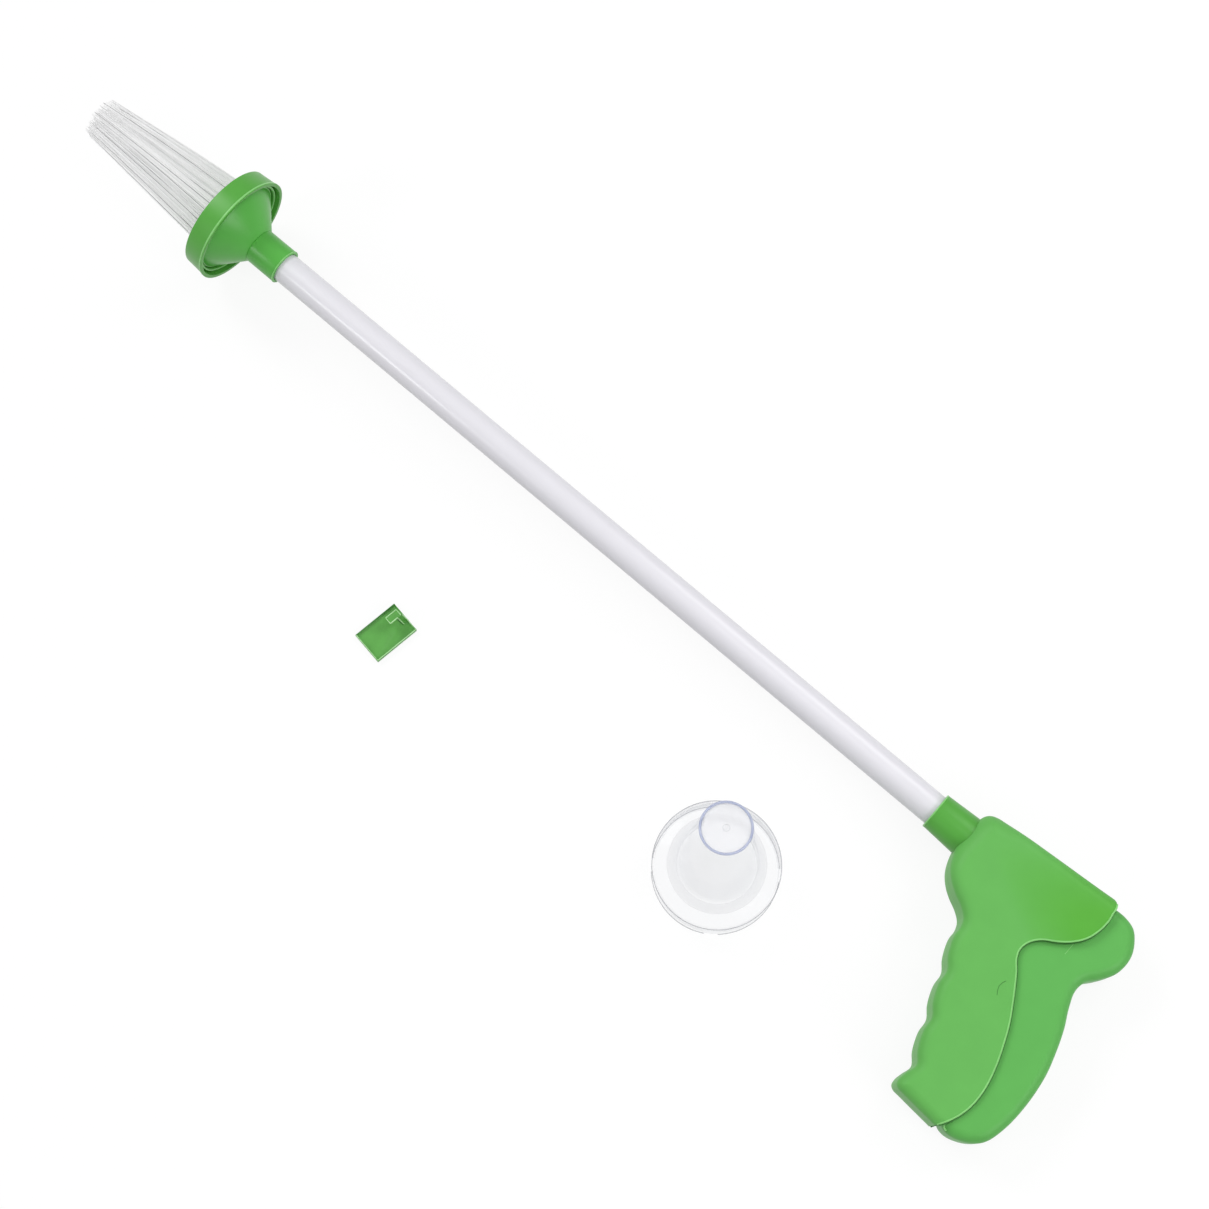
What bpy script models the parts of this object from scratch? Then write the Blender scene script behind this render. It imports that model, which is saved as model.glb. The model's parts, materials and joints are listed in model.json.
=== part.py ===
"""Spider catcher: a squeeze handle, a long tube, and a head of bristles that opens like a flower when
the lever is squeezed. With it come the clear cap for the bristles and a small hook for the wall.

The catcher is built in its own frame: the origin is the middle of the collar's mouth, +X runs along
the tube to the bristles, +Y is the grip side and +Z is its left side, which faces up as it lies."""

import math
import random

import bmesh
import bpy
from mathutils import Matrix, Vector

MM = 0.001
X_AXIS = Vector((1, 0, 0))
Z_AXIS = Vector((0, 0, 1))

# Clearances and working values
RUNNING_GAP = 0.3 * MM
SOCKET_GAP = 0.2 * MM
SEAM = 0.2 * MM
OVERRUN = 2 * MM
WELD = 0.002 * MM
ROUND_SIDES = 32
SMALL_SIDES = 12
INWARD_STEP = 0.4 * MM
SHARPEST_CORNER = 0.5
QUARTERS = 4
SHARP_ANGLE = math.radians(35)
SETTLING_STEPS = 8
MEETING_DISTANCE = 0.45 * MM

# Tube
TUBE_RADIUS = 7.75 * MM
TUBE_WALL = 1.2 * MM
TUBE_SHOWN_LENGTH = 412 * MM
FRONT_SOCKET_DEPTH = 14 * MM
REAR_SOCKET_SHARE = 0.1383

# Push rod and the bushes that guide it in the tube's ends
ROD_RADIUS = 2 * MM
BUSH_LENGTH = 12 * MM
BUSH_FLANGE = 1.2 * MM

# Handle as a whole: behind the collar's mouth, and from the tube's axis to the grip's end
HANDLE_LENGTH = 115.7 * MM
HANDLE_DEPTH = 113 * MM
SHELL_HALF = 15 * MM
SHELL_WALL = 1.8 * MM
SHELL_FILLET = 7.5 * MM
BARREL_FILLET = 12 * MM
FILLET_ANGLES = [math.radians(angle) for angle in (0, 30, 60, 90)]
HOLLOW_ANGLES = [math.radians(angle) for angle in (0, 45, 90)]
BARREL_END_SHARE = 0.3
OUTLINE_POINTS_A_SPAN = 2

# Outlines of the handle, as shares of its length behind the mouth and of its depth
COLLAR_TO_GRIP_SHARES = (
    (0.152, 0), (0.158, 0.075), (0.17, 0.118), (0.194, 0.165), (0.231, 0.204),
    (0.272, 0.232), (0.318, 0.256), (0.353, 0.285), (0.368, 0.32),
)
FIRST_KNUCKLE_SHARES = (0.371, 0.367)
FINGER_PITCH_SHARES = (0.07, 0.186)
FINGER_WAVE_SHARES = ((0, 0), (0.42, 0.41), (0.91, 0.68))
FINGERS = 3
GRIP_END_SHARES = (
    (0.5635, 0.913), (0.5566, 0.95), (0.561, 0.9735), (0.579, 0.986), (0.609, 0.989), (0.767, 1.001),
)
BEHIND_SHELL_SHARES = (
    (0.968, 1.013), (1.106, 0.956), (1.12, 0.5), (1.106, -0.088), (0.968, -0.199),
)
BARREL_TOP_SHARES = (
    (0.7606, -0.1805), (0.444, -0.1566), (0.259, -0.14), (0.2126, -0.1354), (0.187, -0.1257),
    (0.169, -0.108), (0.159, -0.08),
)
SHELL_REAR_SHARES = (
    (0.72, -0.23), (0.748, -0.187), (0.777, -0.174), (0.792, -0.153), (0.7935, -0.115),
    (0.7925, -0.079), (0.787, -0.021), (0.768, 0.035), (0.732, 0.083), (0.686, 0.121),
    (0.645, 0.147), (0.617, 0.176), (0.6, 0.21), (0.597, 0.246), (0.61, 0.281), (0.64, 0.32),
    (0.672, 0.37), (0.712, 0.438), (0.745, 0.499), (0.773, 0.565), (0.801, 0.642), (0.821, 0.715),
    (0.8315, 0.782), (0.8315, 0.846), (0.819, 0.908), (0.798, 0.958), (0.776, 1.0), (0.77, 1.06),
)
LEVER_REAR_SHARES = (
    (0.852, 0.993), (0.923, 0.963), (0.966, 0.918), (0.992, 0.828), (1, 0.696), (0.988, 0.562),
    (0.962, 0.459), (0.929, 0.363), (0.894, 0.288), (0.871, 0.217), (0.879, 0.165), (0.911, 0.123),
    (0.949, 0.062), (0.96, 0.004), (0.954, -0.047), (0.93, -0.096), (0.895, -0.134),
    (0.847, -0.1495), (0.791, -0.1495),
)
LEVER_FRONT_SHARES = (
    (0.743, -0.138), (0.7226, -0.106), (0.6915, -0.0265), (0.657, 0.053), (0.605, 0.108),
    (0.553, 0.155), (0.5307, 0.221), (0.534, 0.301), (0.56, 0.389), (0.605, 0.487), (0.644, 0.593),
    (0.67, 0.708), (0.683, 0.814), (0.679, 0.88), (0.7, 0.922), (0.743, 0.949),
    (0.789, 0.957), (0.811, 0.983),
)

# Bulge of the barrel, which widens to the rear
BULGE_HEIGHT = 1.6 * MM
BULGE_START_SHARE = 0.277
BULGE_LENGTH_SHARE = 0.52
BULGE_HALF_WIDTH = 23 * MM
BULGE_FULL_WIDTH_SHARE = 0.33
BULGE_SPREAD_POWER = 0.8
BULGE_CREST_SHARE = -0.015
BULGE_CUT_SHARES = (0.38, 0.47, 0.57, 0.68)
BULGE_FOLD_SHARES = ((0.32, 0.04), (0.6, 0.2))

# Collar on the shells, which holds the tube
COLLAR_MOUTH_WALL = 0.9 * MM
COLLAR_ROOT_WALL = 1.9 * MM
COLLAR_BASE = 4 * MM

# Screws that hold the shells together, as shares of the handle's length and depth
SCREW_SHARES = ((0.262, -0.0955), (0.32, 0.186), (0.501, 0.513), (0.622, 0.885), (0.431, -0.1186))
SCREW_RADIUS = 1.3 * MM
SCREW_HEAD_RADIUS = 2.75 * MM
SCREW_HEAD_HEIGHT = 2 * MM
SCREW_END_HEIGHT = 8 * MM
SCREW_SEAT_HEIGHT = 9.2 * MM
RECESS_LENGTH = 3 * MM
RECESS_WIDTH = 0.7 * MM
RECESS_DEPTH = 0.9 * MM
BOSS_WALL = 1.5 * MM

# Lever that the palm squeezes, and the pin it turns on
LEVER_GAP = 0.35 * MM
LEVER_WALL = 1.8 * MM
LEVER_FILLET = 5.5 * MM
PIVOT_SHARES = (0.743, 0.893)
PIN_RADIUS = 2 * MM
PIVOT_BOSS_WALL = 2.8 * MM
PIVOT_POCKET_GAP = 1 * MM
LEVER_HUB_WALL = 1.5 * MM
LEVER_HUB_HALF = 11.3 * MM
LEVER_POCKET_HEIGHT = 9.2 * MM
PIN_SKIN = 1.1 * MM
BRIDGE_HALF_DEPTH = 7.5 * MM
BRIDGE_THICKNESS = 3.5 * MM
PUSHER_HALF_DEPTH = 4.5 * MM
PUSHER_HALF_WIDTH = 4 * MM
PUSHER_GAP = 0.5 * MM

# Carrier on the rod's rear end, its guide, and the spring that sends it back
CARRIER_RADIUS = 6.5 * MM
CARRIER_LENGTH = 19 * MM
CARRIER_DOME = 2.6 * MM
CARRIER_NOSE_SHARES = (0.2, 0.55)
CARRIER_BORE_DEPTH = 8 * MM
CARRIER_SHARE = 0.614
GUIDE_THICKNESS = 3.5 * MM
GUIDE_FROM_CARRIER_FRONT = 4 * MM
GUIDE_SIDE_SHARES = (-0.22, 0.097)
SPRING_WIRE = 0.45 * MM
SPRING_RADIUS = 4 * MM
SPRING_TURNS = 8
SPRING_POINTS_A_TURN = 10

# Head: sleeve, funnel and the bristle segments' hinges
SLEEVE_WALL = 0.95 * MM
NECK_WALL = 1.1 * MM
SLEEVE_LENGTH = 17.5 * MM
CONE_LENGTH = 15.5 * MM
FUNNEL_RIM_LENGTH = 2.6 * MM
FUNNEL_LIP = 4.7 * MM
NECK_BORE = 6.2 * MM
SEGMENTS = 8
SECTOR = math.tau / SEGMENTS
HINGE_RADIUS = 20.5 * MM
TRUNNION_RADIUS = 1.1 * MM
HINGE_GAP = 0.35 * MM
SEGMENT_GAP = 0.7 * MM
SEGMENT_INNER_RADIUS = 3 * MM
SEGMENT_FRONT = 0.9 * MM
SEGMENT_REAR = 1 * MM
SEGMENT_NECK = 0.7 * MM
ARM_FRONT = -0.1 * MM
SLICE_MARGIN = 0.6 * MM
RIM_MARGIN = 0.65 * MM

# Ring that holds the segments in the funnel
RING_LENGTH = 11.2 * MM
RING_WALL = 1.6 * MM
RING_FLARE = 1.1 * MM
RING_FLANGE = 1.9 * MM
RING_SEAT_WALL = 1.5 * MM
RING_CHANNEL = 1.1 * MM
RING_SEAT_LENGTH = 5 * MM
RING_EDGE = 0.5 * MM
RING_WINDOW_GAP = 0.1 * MM

# Hub on the rod's front end: a plate behind the segments' inner ends and a disc before them
HUB_RADIUS = 7.5 * MM
HUB_THICKNESS = 1.6 * MM
HUB_GAP = 0.7 * MM
HUB_SLEEVE_LENGTH = 7 * MM
HUB_SLEEVE_WALL = 1.5 * MM
DISC_RADIUS = 9 * MM
DISC_GAP = 0.9 * MM
DISC_THICKNESS = 1.6 * MM
DISC_FACE_SHARE = 0.85
DISC_STEM_RADIUS = 2.3 * MM
HUB_SCREW_RADIUS = 1.1 * MM
HUB_SCREW_HEAD_RADIUS = 2.6 * MM
HUB_SCREW_HEAD_HEIGHT = 1.6 * MM
HUB_SCREW_FACE_SHARE = 0.7

# Bristles: rows of strands on each segment, drawn together towards their tips
BRISTLE_REACH = 86 * MM
BRISTLE_RAGGED = 2.5 * MM
BRISTLE_ROWS = 5
BRISTLE_COLUMNS = 8
BRISTLE_ROOT_RADII = (11.7 * MM, 18 * MM)
BRISTLE_TIP_RADII = (4.8 * MM, 9 * MM)
STRAND_ROOT_WIDTH = 0.5 * MM
STRAND_TIP_WIDTH = 0.28 * MM
BRISTLE_SEED = 4

# Clear cap, which stands on its open end beside the catcher
CAP_GAP = 0.3 * MM
CAP_WALL = 1.1 * MM
CAP_SKIRT_HEIGHT = 18 * MM
CAP_HEADROOM = 23 * MM
CAP_TOP = 1.8 * MM
CAP_TOP_RADIUS = 12.2 * MM
CAP_WAIST_RADIUS = 18.6 * MM
CAP_STEP_RADIUS = 23.4 * MM
CAP_SHOULDER = 2.4 * MM
CAP_BLEND = 10 * MM
CAP_BLEND_SHARES = (0.3, 0.65)
CAP_EDGE = 0.8 * MM
CAP_NOTCHES = 4
CAP_NOTCH_WIDTH = 6.5 * MM
CAP_NOTCH_HEIGHT = 3.2 * MM
CAP_NOTCH_TURN = math.radians(36)
CAP_PLACE = (60.9 * MM, 86 * MM)

# Wall hook, which lies on its back
HOOK_LENGTH = 24.3 * MM
HOOK_WIDTH = 17.2 * MM
HOOK_PLATE = 1.4 * MM
HOOK_RIM_HEIGHT = 0.9 * MM
HOOK_RIM_WIDTH = 0.8 * MM
HOOK_EDGE = 0.3 * MM
FLAG_LENGTH = 6.8 * MM
FLAG_WIDTH = 4.6 * MM
FLAG_THICKNESS = 1.2 * MM
FLAG_HEIGHT = 7.2 * MM
FLAG_PLACE_SHARES = (0.11, -0.292)
POST_SIZE = (1.6 * MM, 3 * MM)
POST_PLACE_SHARES = (-0.15, -0.425)
POST_TOP_SHARES = (-0.02, -0.385)
HOOK_TURN = math.radians(-8.7)
HOOK_PLACE = (256.2 * MM, 101.9 * MM)

# Finishes: colour, roughness, how metallic, how see-through
FINISHES = {
    "green_plastic": ((0.128, 0.485, 0.09), 0.4, 0, 0),
    "lever_plastic": ((0.122, 0.47, 0.088), 0.42, 0, 0),
    "white_tube": ((0.83, 0.82, 0.86), 0.35, 0, 0),
    "bright_steel": ((0.6, 0.61, 0.62), 0.3, 1, 0),
    "natural_nylon": ((0.82, 0.82, 0.78), 0.45, 0, 0),
    "clear_bristle": ((0.8, 0.8, 0.8), 0.3, 0, 0),
    "clear_plastic": ((0.95, 0.96, 0.98), 0.05, 0, 0.9),
}

# Places along the catcher's axis that follow from the sizes above
SOCKET_RADIUS = TUBE_RADIUS + SOCKET_GAP
TUBE_FRONT = TUBE_SHOWN_LENGTH + FRONT_SOCKET_DEPTH
TUBE_REAR = -REAR_SOCKET_SHARE * HANDLE_LENGTH
FRONT_SHOULDER = TUBE_FRONT + RUNNING_GAP + BUSH_FLANGE + RUNNING_GAP
REAR_SHOULDER = TUBE_REAR - RUNNING_GAP - BUSH_FLANGE - RUNNING_GAP
COLLAR_REAR = REAR_SHOULDER - COLLAR_BASE
SLEEVE_FRONT = TUBE_SHOWN_LENGTH + SLEEVE_LENGTH
CONE_FRONT = SLEEVE_FRONT + CONE_LENGTH
FUNNEL_FRONT = CONE_FRONT + FUNNEL_RIM_LENGTH
HINGE_X = FUNNEL_FRONT + HINGE_GAP + TRUNNION_RADIUS
SECTOR_SLOPE = math.tan(SECTOR / 2)
SEGMENT_SIDE = SEGMENT_GAP / 2 / math.cos(SECTOR / 2)
TRUNNION_HALF = (HINGE_RADIUS - TRUNNION_RADIUS) * SECTOR_SLOPE - SEGMENT_SIDE - RUNNING_GAP
RIM_RADIUS = math.hypot(HINGE_RADIUS + TRUNNION_RADIUS, TRUNNION_HALF) + RIM_MARGIN
SEAT_RADIUS = RIM_RADIUS + RUNNING_GAP
RING_FRONT_RADIUS = SEAT_RADIUS + RING_SEAT_WALL + RING_CHANNEL + RING_WALL
RING_REAR_RADIUS = RING_FRONT_RADIUS + RING_FLARE
RING_FRONT = HINGE_X + TRUNNION_RADIUS + HINGE_GAP + RING_FLANGE
RING_REAR = RING_FRONT - RING_LENGTH
SEGMENT_REAR_X = HINGE_X - SEGMENT_REAR
SEGMENT_FRONT_X = HINGE_X + SEGMENT_FRONT
SLICE_REAR = ARM_FRONT + RUNNING_GAP
HUB_FRONT = SEGMENT_REAR_X - HUB_GAP
HUB_REAR = HUB_FRONT - HUB_THICKNESS
ROD_FRONT = HUB_REAR - RUNNING_GAP
DISC_REAR = SEGMENT_FRONT_X + DISC_GAP
DISC_FRONT = DISC_REAR + DISC_THICKNESS
CARRIER_REAR = -CARRIER_SHARE * HANDLE_LENGTH
CARRIER_FRONT = CARRIER_REAR + CARRIER_LENGTH
ROD_REAR = CARRIER_FRONT - CARRIER_BORE_DEPTH
LEVER_HALF = SHELL_HALF - SHELL_WALL - LEVER_GAP
CAP_INNER_RADIUS = RING_REAR_RADIUS + CAP_GAP
CAP_RADIUS = CAP_INNER_RADIUS + CAP_WALL
CAP_HEIGHT = RING_LENGTH + BRISTLE_REACH + CAP_HEADROOM + CAP_TOP


def clear_scene():
    for obj in list(bpy.data.objects):
        bpy.data.objects.remove(obj)


def material(name, colour, roughness, metallic, see_through):
    made = bpy.data.materials.new(name)
    made.use_nodes = True
    shader = made.node_tree.nodes["Principled BSDF"]
    shader.inputs["Base Color"].default_value = (*colour, 1)
    shader.inputs["Roughness"].default_value = roughness
    shader.inputs["Metallic"].default_value = metallic
    shader.inputs["Transmission Weight"].default_value = see_through
    return made


def linked(name, bm, finish=None, parent=None, origin=Vector()):
    """A new object from a bmesh, with its origin moved to a point; without a finish it is a helper."""
    bmesh.ops.remove_doubles(bm, verts=bm.verts, dist=WELD)
    bmesh.ops.recalc_face_normals(bm, faces=bm.faces)
    bmesh.ops.translate(bm, verts=bm.verts, vec=-origin)
    mesh = bpy.data.meshes.new(name)
    bm.to_mesh(mesh)
    bm.free()
    obj = bpy.data.objects.new(name, mesh)
    bpy.context.scene.collection.objects.link(obj)
    obj.parent = parent
    obj.location = origin
    if finish:
        mesh.materials.append(finish)
        mesh.shade_smooth()
        mesh.set_sharp_from_angle(angle=SHARP_ANGLE)
    else:
        obj.hide_render = True
        obj.display_type = "WIRE"
    return obj


def combine(obj, operation, *others, joined=False):
    """Adds a Boolean for each other object; joined says that their forms may touch one another."""
    for other in others:
        step = obj.modifiers.new(f"{operation.lower()}_{other.name}", "BOOLEAN")
        step.operation = operation
        step.solver = "EXACT"
        step.use_self = joined
        step.object = other


def turned_form(profile, sides=ROUND_SIDES):
    """A form of revolution about X, from (x, radius) points. A profile ends on the axis or is a loop."""
    bm = bmesh.new()
    points = [bm.verts.new((x, 0, radius)) for x, radius in profile]
    pairs = list(zip(points, points[1:]))
    if profile[0][1] or profile[-1][1]:
        pairs.append((points[-1], points[0]))
    edges = [bm.edges.new(pair) for pair in pairs]
    bmesh.ops.spin(
        bm, geom=points + edges, cent=Vector(), axis=X_AXIS, angle=math.tau, steps=sides, use_merge=True
    )
    bmesh.ops.remove_doubles(bm, verts=bm.verts, dist=WELD)
    return bm


def rod_form(start, end, radius, sides=ROUND_SIDES):
    return turned_form(((start, 0), (start, radius), (end, radius), (end, 0)), sides)


def upright(bm, x=0, y=0):
    """Turns a form about X into one about Z at a place."""
    bmesh.ops.rotate(bm, verts=bm.verts, cent=Vector(), matrix=Matrix.Rotation(-math.pi / 2, 3, "Y"))
    bmesh.ops.translate(bm, verts=bm.verts, vec=(x, y, 0))
    return bm


def together(*forms):
    """One form from several."""
    whole = bmesh.new()
    for form in forms:
        bmesh.ops.recalc_face_normals(form, faces=form.faces)
        piece = bpy.data.meshes.new("piece")
        form.to_mesh(piece)
        form.free()
        whole.from_mesh(piece)
        bpy.data.meshes.remove(piece)
    return whole


def box_form(low, high):
    bm = bmesh.new()
    bmesh.ops.create_cube(bm, size=1)
    middle = (Vector(low) + Vector(high)) / 2
    bmesh.ops.scale(bm, verts=bm.verts, vec=Vector(high) - Vector(low))
    bmesh.ops.translate(bm, verts=bm.verts, vec=middle)
    return bm


def in_handle(share):
    """A place on the handle's middle plane from its shares."""
    return Vector((-share[0] * HANDLE_LENGTH, share[1] * HANDLE_DEPTH))


def rounded_through(points, count, closed=True):
    """Points on a curve through the given ones, with knots by distance so that short spans stay calm."""
    last = len(points) if closed else len(points) - 1
    curve = []
    for i in range(last):
        if closed:
            four = [points[(i + k - 1) % len(points)] for k in range(4)]
        else:
            four = [points[min(max(i + k - 1, 0), len(points) - 1)] for k in range(4)]
            if i == 0:
                four[0] = 2 * four[1] - four[2]
            if i == last - 1:
                four[3] = 2 * four[2] - four[1]
        knots = [0.0]
        for a, b in zip(four, four[1:]):
            knots.append(knots[-1] + math.sqrt((b - a).length))
        for k in range(count):
            at = knots[1] + (knots[2] - knots[1]) * k / count
            one = blend(four[0], four[1], knots[0], knots[1], at)
            two = blend(four[1], four[2], knots[1], knots[2], at)
            three = blend(four[2], four[3], knots[2], knots[3], at)
            left = blend(one, two, knots[0], knots[2], at)
            right = blend(two, three, knots[1], knots[3], at)
            curve.append(blend(left, right, knots[1], knots[2], at))
    if not closed:
        curve.append(points[-1])
    return curve


def blend(a, b, start, end, at):
    """The point that lies between two as a value lies between a start and an end."""
    return (a * (end - at) + b * (at - start)) / (end - start)


def drawn_in(outline, distances):
    """An outline, counter-clockwise, with each point moved inwards by its distance. Points that meet
    on the way go on as one, so the result has as many points, some of them alike."""
    steps = max(1, math.ceil(max(distances) / INWARD_STEP))
    groups = [[i] for i in range(len(outline))]
    ring = [point.copy() for point in outline]
    for _ in range(steps):
        moved = []
        for i, here in enumerate(ring):
            into = (here - ring[i - 1]).normalized()
            onward = (ring[(i + 1) % len(ring)] - here).normalized()
            along = (into + onward).normalized()
            inward = Vector((-along.y, along.x))
            square = max(inward.dot(Vector((-into.y, into.x))), SHARPEST_CORNER)
            reach = sum(distances[k] for k in groups[i]) / len(groups[i])
            moved.append(here + inward * (reach / steps / square))
        ring, joined = [], []
        for point, group in zip(moved, groups):
            if ring and (point - ring[-1]).length < MEETING_DISTANCE:
                ring[-1] = (ring[-1] + point) / 2
                joined[-1] = joined[-1] + group
            else:
                ring.append(point)
                joined.append(group)
        groups = joined
    placed = [None] * len(outline)
    for point, group in zip(ring, groups):
        for i in group:
            placed[i] = point
    return placed


def stacked_form(rings):
    """A closed form from rings of points, one over the other."""
    bm = bmesh.new()
    loops = [[bm.verts.new(point) for point in ring] for ring in rings]
    for low, high in zip(loops, loops[1:]):
        for i, corner in enumerate(low):
            bm.faces.new((low[i - 1], corner, high[i], high[i - 1]))
    bmesh.ops.remove_doubles(bm, verts=bm.verts, dist=WELD)
    bmesh.ops.holes_fill(bm, edges=[edge for edge in bm.edges if edge.is_boundary])
    return bm


def prism_form(outline, low, high):
    return stacked_form([[(p.x, p.y, z) for p in outline] for z in (low, high)])


def bulge(x, y):
    """How far the barrel's side stands out past the grip's at a place, which ends in a fold below it."""
    back = -x / HANDLE_LENGTH - BULGE_START_SHARE
    if back <= 0:
        return 0.0
    width = BULGE_HALF_WIDTH * min(1, back / BULGE_FULL_WIDTH_SHARE) ** BULGE_SPREAD_POWER
    off = (y - BULGE_CREST_SHARE * HANDLE_DEPTH) / width
    return BULGE_HEIGHT * min(1, back / BULGE_LENGTH_SHARE) * max(0, 1 - off * off)


def fillet_at(point):
    """The rounding of the shell's edge is full at the barrel's front and smaller behind it and below."""
    back = (-point.x / HANDLE_LENGTH - COLLAR_TO_GRIP_SHARES[0][0]) / BARREL_END_SHARE
    below = (point.y / HANDLE_DEPTH) / BARREL_END_SHARE
    share = min(1, max(0, back, below))
    share = share * share * (3 - 2 * share)
    return BARREL_FILLET + (SHELL_FILLET - BARREL_FILLET) * share


def shell_outline(points_a_span):
    """The shell's edge, run on behind it so that its rear can be cut from it."""
    first = Vector(FIRST_KNUCKLE_SHARES)
    pitch = Vector(FINGER_PITCH_SHARES)
    fingers = [
        first + Vector(((finger + wave[0]) * pitch.x, (finger + wave[1]) * pitch.y))
        for finger in range(FINGERS)
        for wave in FINGER_WAVE_SHARES
    ]
    shares = [*COLLAR_TO_GRIP_SHARES, *fingers, *GRIP_END_SHARES, *BEHIND_SHELL_SHARES, *BARREL_TOP_SHARES]
    return rounded_through([in_handle(share) for share in shares], points_a_span)


def half_form(outline, side, low, half, fillets, angles):
    """Half of a rounded body, from near the seam outwards, with the barrel's bulge on it."""
    rings = [[(p.x, p.y, low) for p in outline]]
    for angle in angles:
        ring = drawn_in(outline, [fillet * (1 - math.cos(angle)) for fillet in fillets])
        heights = [half - fillet * (1 - math.sin(angle)) for fillet in fillets]
        rings.append([(p.x, p.y, height) for p, height in zip(ring, heights)])
    bm = stacked_form(rings)
    cuts = [(in_handle((share, 0)), Vector((1, 0))) for share in BULGE_CUT_SHARES]
    cuts.append((in_handle((0, BULGE_CREST_SHARE)), Vector((0, 1))))
    fold = [in_handle(share) for share in BULGE_FOLD_SHARES]
    along = fold[1] - fold[0]
    cuts.append((fold[0], Vector((-along.y, along.x)).normalized()))
    for point, normal in cuts:
        tops = [f for f in bm.faces if f.calc_center_median().z > half - WELD]
        geometry = set(tops) | {e for f in tops for e in f.edges} | {v for f in tops for v in f.verts}
        bmesh.ops.bisect_plane(
            bm, geom=list(geometry), dist=WELD, plane_co=(*point, 0), plane_no=(*normal, 0)
        )
    for vert in bm.verts:
        vert.co.z = side * (vert.co.z + bulge(vert.co.x, vert.co.y) * vert.co.z / half)
    return bm


def shell_places():
    return [in_handle(share) for share in SCREW_SHARES]


def near_half(bm, side):
    """The part of a form on one side of the handle's seam."""
    whole = [*bm.verts, *bm.edges, *bm.faces]
    bmesh.ops.bisect_plane(
        bm, geom=whole, plane_co=(0, 0, side * SEAM / 2), plane_no=(0, 0, side), clear_inner=True
    )
    bmesh.ops.holes_fill(bm, edges=[edge for edge in bm.edges if edge.is_boundary])
    return bm


def shell(name, side, finish, parent):
    """One half of the handle: the left half holds the screws' points, the right half their heads."""
    outline = shell_outline(OUTLINE_POINTS_A_SPAN)
    fillets = [fillet_at(point) for point in outline]
    outer = half_form(outline, side, SEAM / 2, SHELL_HALF, fillets, FILLET_ANGLES)
    obj = linked(name, outer, finish, parent)

    def helper(label, bm):
        return linked(f"{name}_{label}", bm, parent=parent)

    collar_root = SOCKET_RADIUS + COLLAR_ROOT_WALL
    collar = turned_form((
        (REAR_SHOULDER - COLLAR_BASE / 2, 0),
        (REAR_SHOULDER - COLLAR_BASE / 2, collar_root),
        (REAR_SHOULDER, collar_root),
        (0, SOCKET_RADIUS + COLLAR_MOUTH_WALL),
        (0, 0),
    ))
    combine(obj, "UNION", helper("collar", near_half(collar, side)))

    outline = shell_outline(1)
    inside = drawn_in(outline, [SHELL_WALL] * len(outline))
    fillets = [fillet_at(point) - SHELL_WALL for point in outline]
    hollow = helper("hollow", half_form(
        inside, side, -OVERRUN, SHELL_HALF - SHELL_WALL, fillets, HOLLOW_ANGLES
    ))
    beyond = (SHELL_HALF + BULGE_HEIGHT + OVERRUN) * side
    guide_front = CARRIER_FRONT - GUIDE_FROM_CARRIER_FRONT
    guide_rear = guide_front - GUIDE_THICKNESS
    guide_sides = [share * HANDLE_DEPTH for share in GUIDE_SIDE_SHARES]
    pivot = in_handle(PIVOT_SHARES)
    pivot_face = (LEVER_POCKET_HEIGHT + RUNNING_GAP) * side
    pin_hole = PIN_RADIUS + SOCKET_GAP
    hole = SCREW_RADIUS + SOCKET_GAP
    seat = SCREW_HEAD_RADIUS + RUNNING_GAP
    boss_radius = hole + BOSS_WALL if side > 0 else seat + BOSS_WALL
    before = -2 * OVERRUN * side
    kept = [
        rod_form(COLLAR_REAR, OVERRUN, collar_root + RUNNING_GAP),
        box_form((guide_rear, guide_sides[0], before), (guide_front, guide_sides[1], beyond)),
        upright(rod_form(pivot_face, beyond, pin_hole + PIVOT_BOSS_WALL, SMALL_SIDES), *pivot),
    ]
    kept += [upright(rod_form(before, beyond, boss_radius, SMALL_SIDES), *place) for place in shell_places()]
    combine(hollow, "DIFFERENCE", helper("kept", together(*kept)), joined=True)

    cuts = [
        turned_form((
            (COLLAR_REAR - OVERRUN, 0),
            (COLLAR_REAR - OVERRUN, ROD_RADIUS + RUNNING_GAP),
            (REAR_SHOULDER, ROD_RADIUS + RUNNING_GAP),
            (REAR_SHOULDER, SOCKET_RADIUS),
            (OVERRUN, SOCKET_RADIUS),
            (OVERRUN, 0),
        )),
        rod_form(guide_rear - OVERRUN, guide_front + OVERRUN, CARRIER_RADIUS + RUNNING_GAP),
        upright(
            rod_form(pivot_face - OVERRUN * side, (SHELL_HALF - PIN_SKIN) * side, pin_hole, SMALL_SIDES),
            *pivot,
        ),
    ]
    for place in shell_places():
        if side > 0:
            cut = rod_form(-OVERRUN, SCREW_END_HEIGHT + OVERRUN, hole, SMALL_SIDES)
        else:
            cut = turned_form((
                (beyond, 0), (beyond, seat), (-SCREW_SEAT_HEIGHT, seat),
                (-SCREW_SEAT_HEIGHT, hole), (OVERRUN, hole), (OVERRUN, 0),
            ), SMALL_SIDES)
        cuts.append(upright(cut, *place))
    reach = 2 * (SHELL_HALF + BULGE_HEIGHT)
    rear = rounded_through([in_handle(share) for share in SHELL_REAR_SHARES], OUTLINE_POINTS_A_SPAN, False)
    far = -2 * HANDLE_LENGTH
    rear_cut = prism_form(
        [Vector((far, rear[0].y)), *rear, Vector((far, rear[-1].y))], -reach, reach
    )
    combine(obj, "DIFFERENCE", hollow, helper("rear_cut", rear_cut))
    combine(obj, "DIFFERENCE", helper("cuts", together(*cuts)), joined=True)
    return obj


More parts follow.
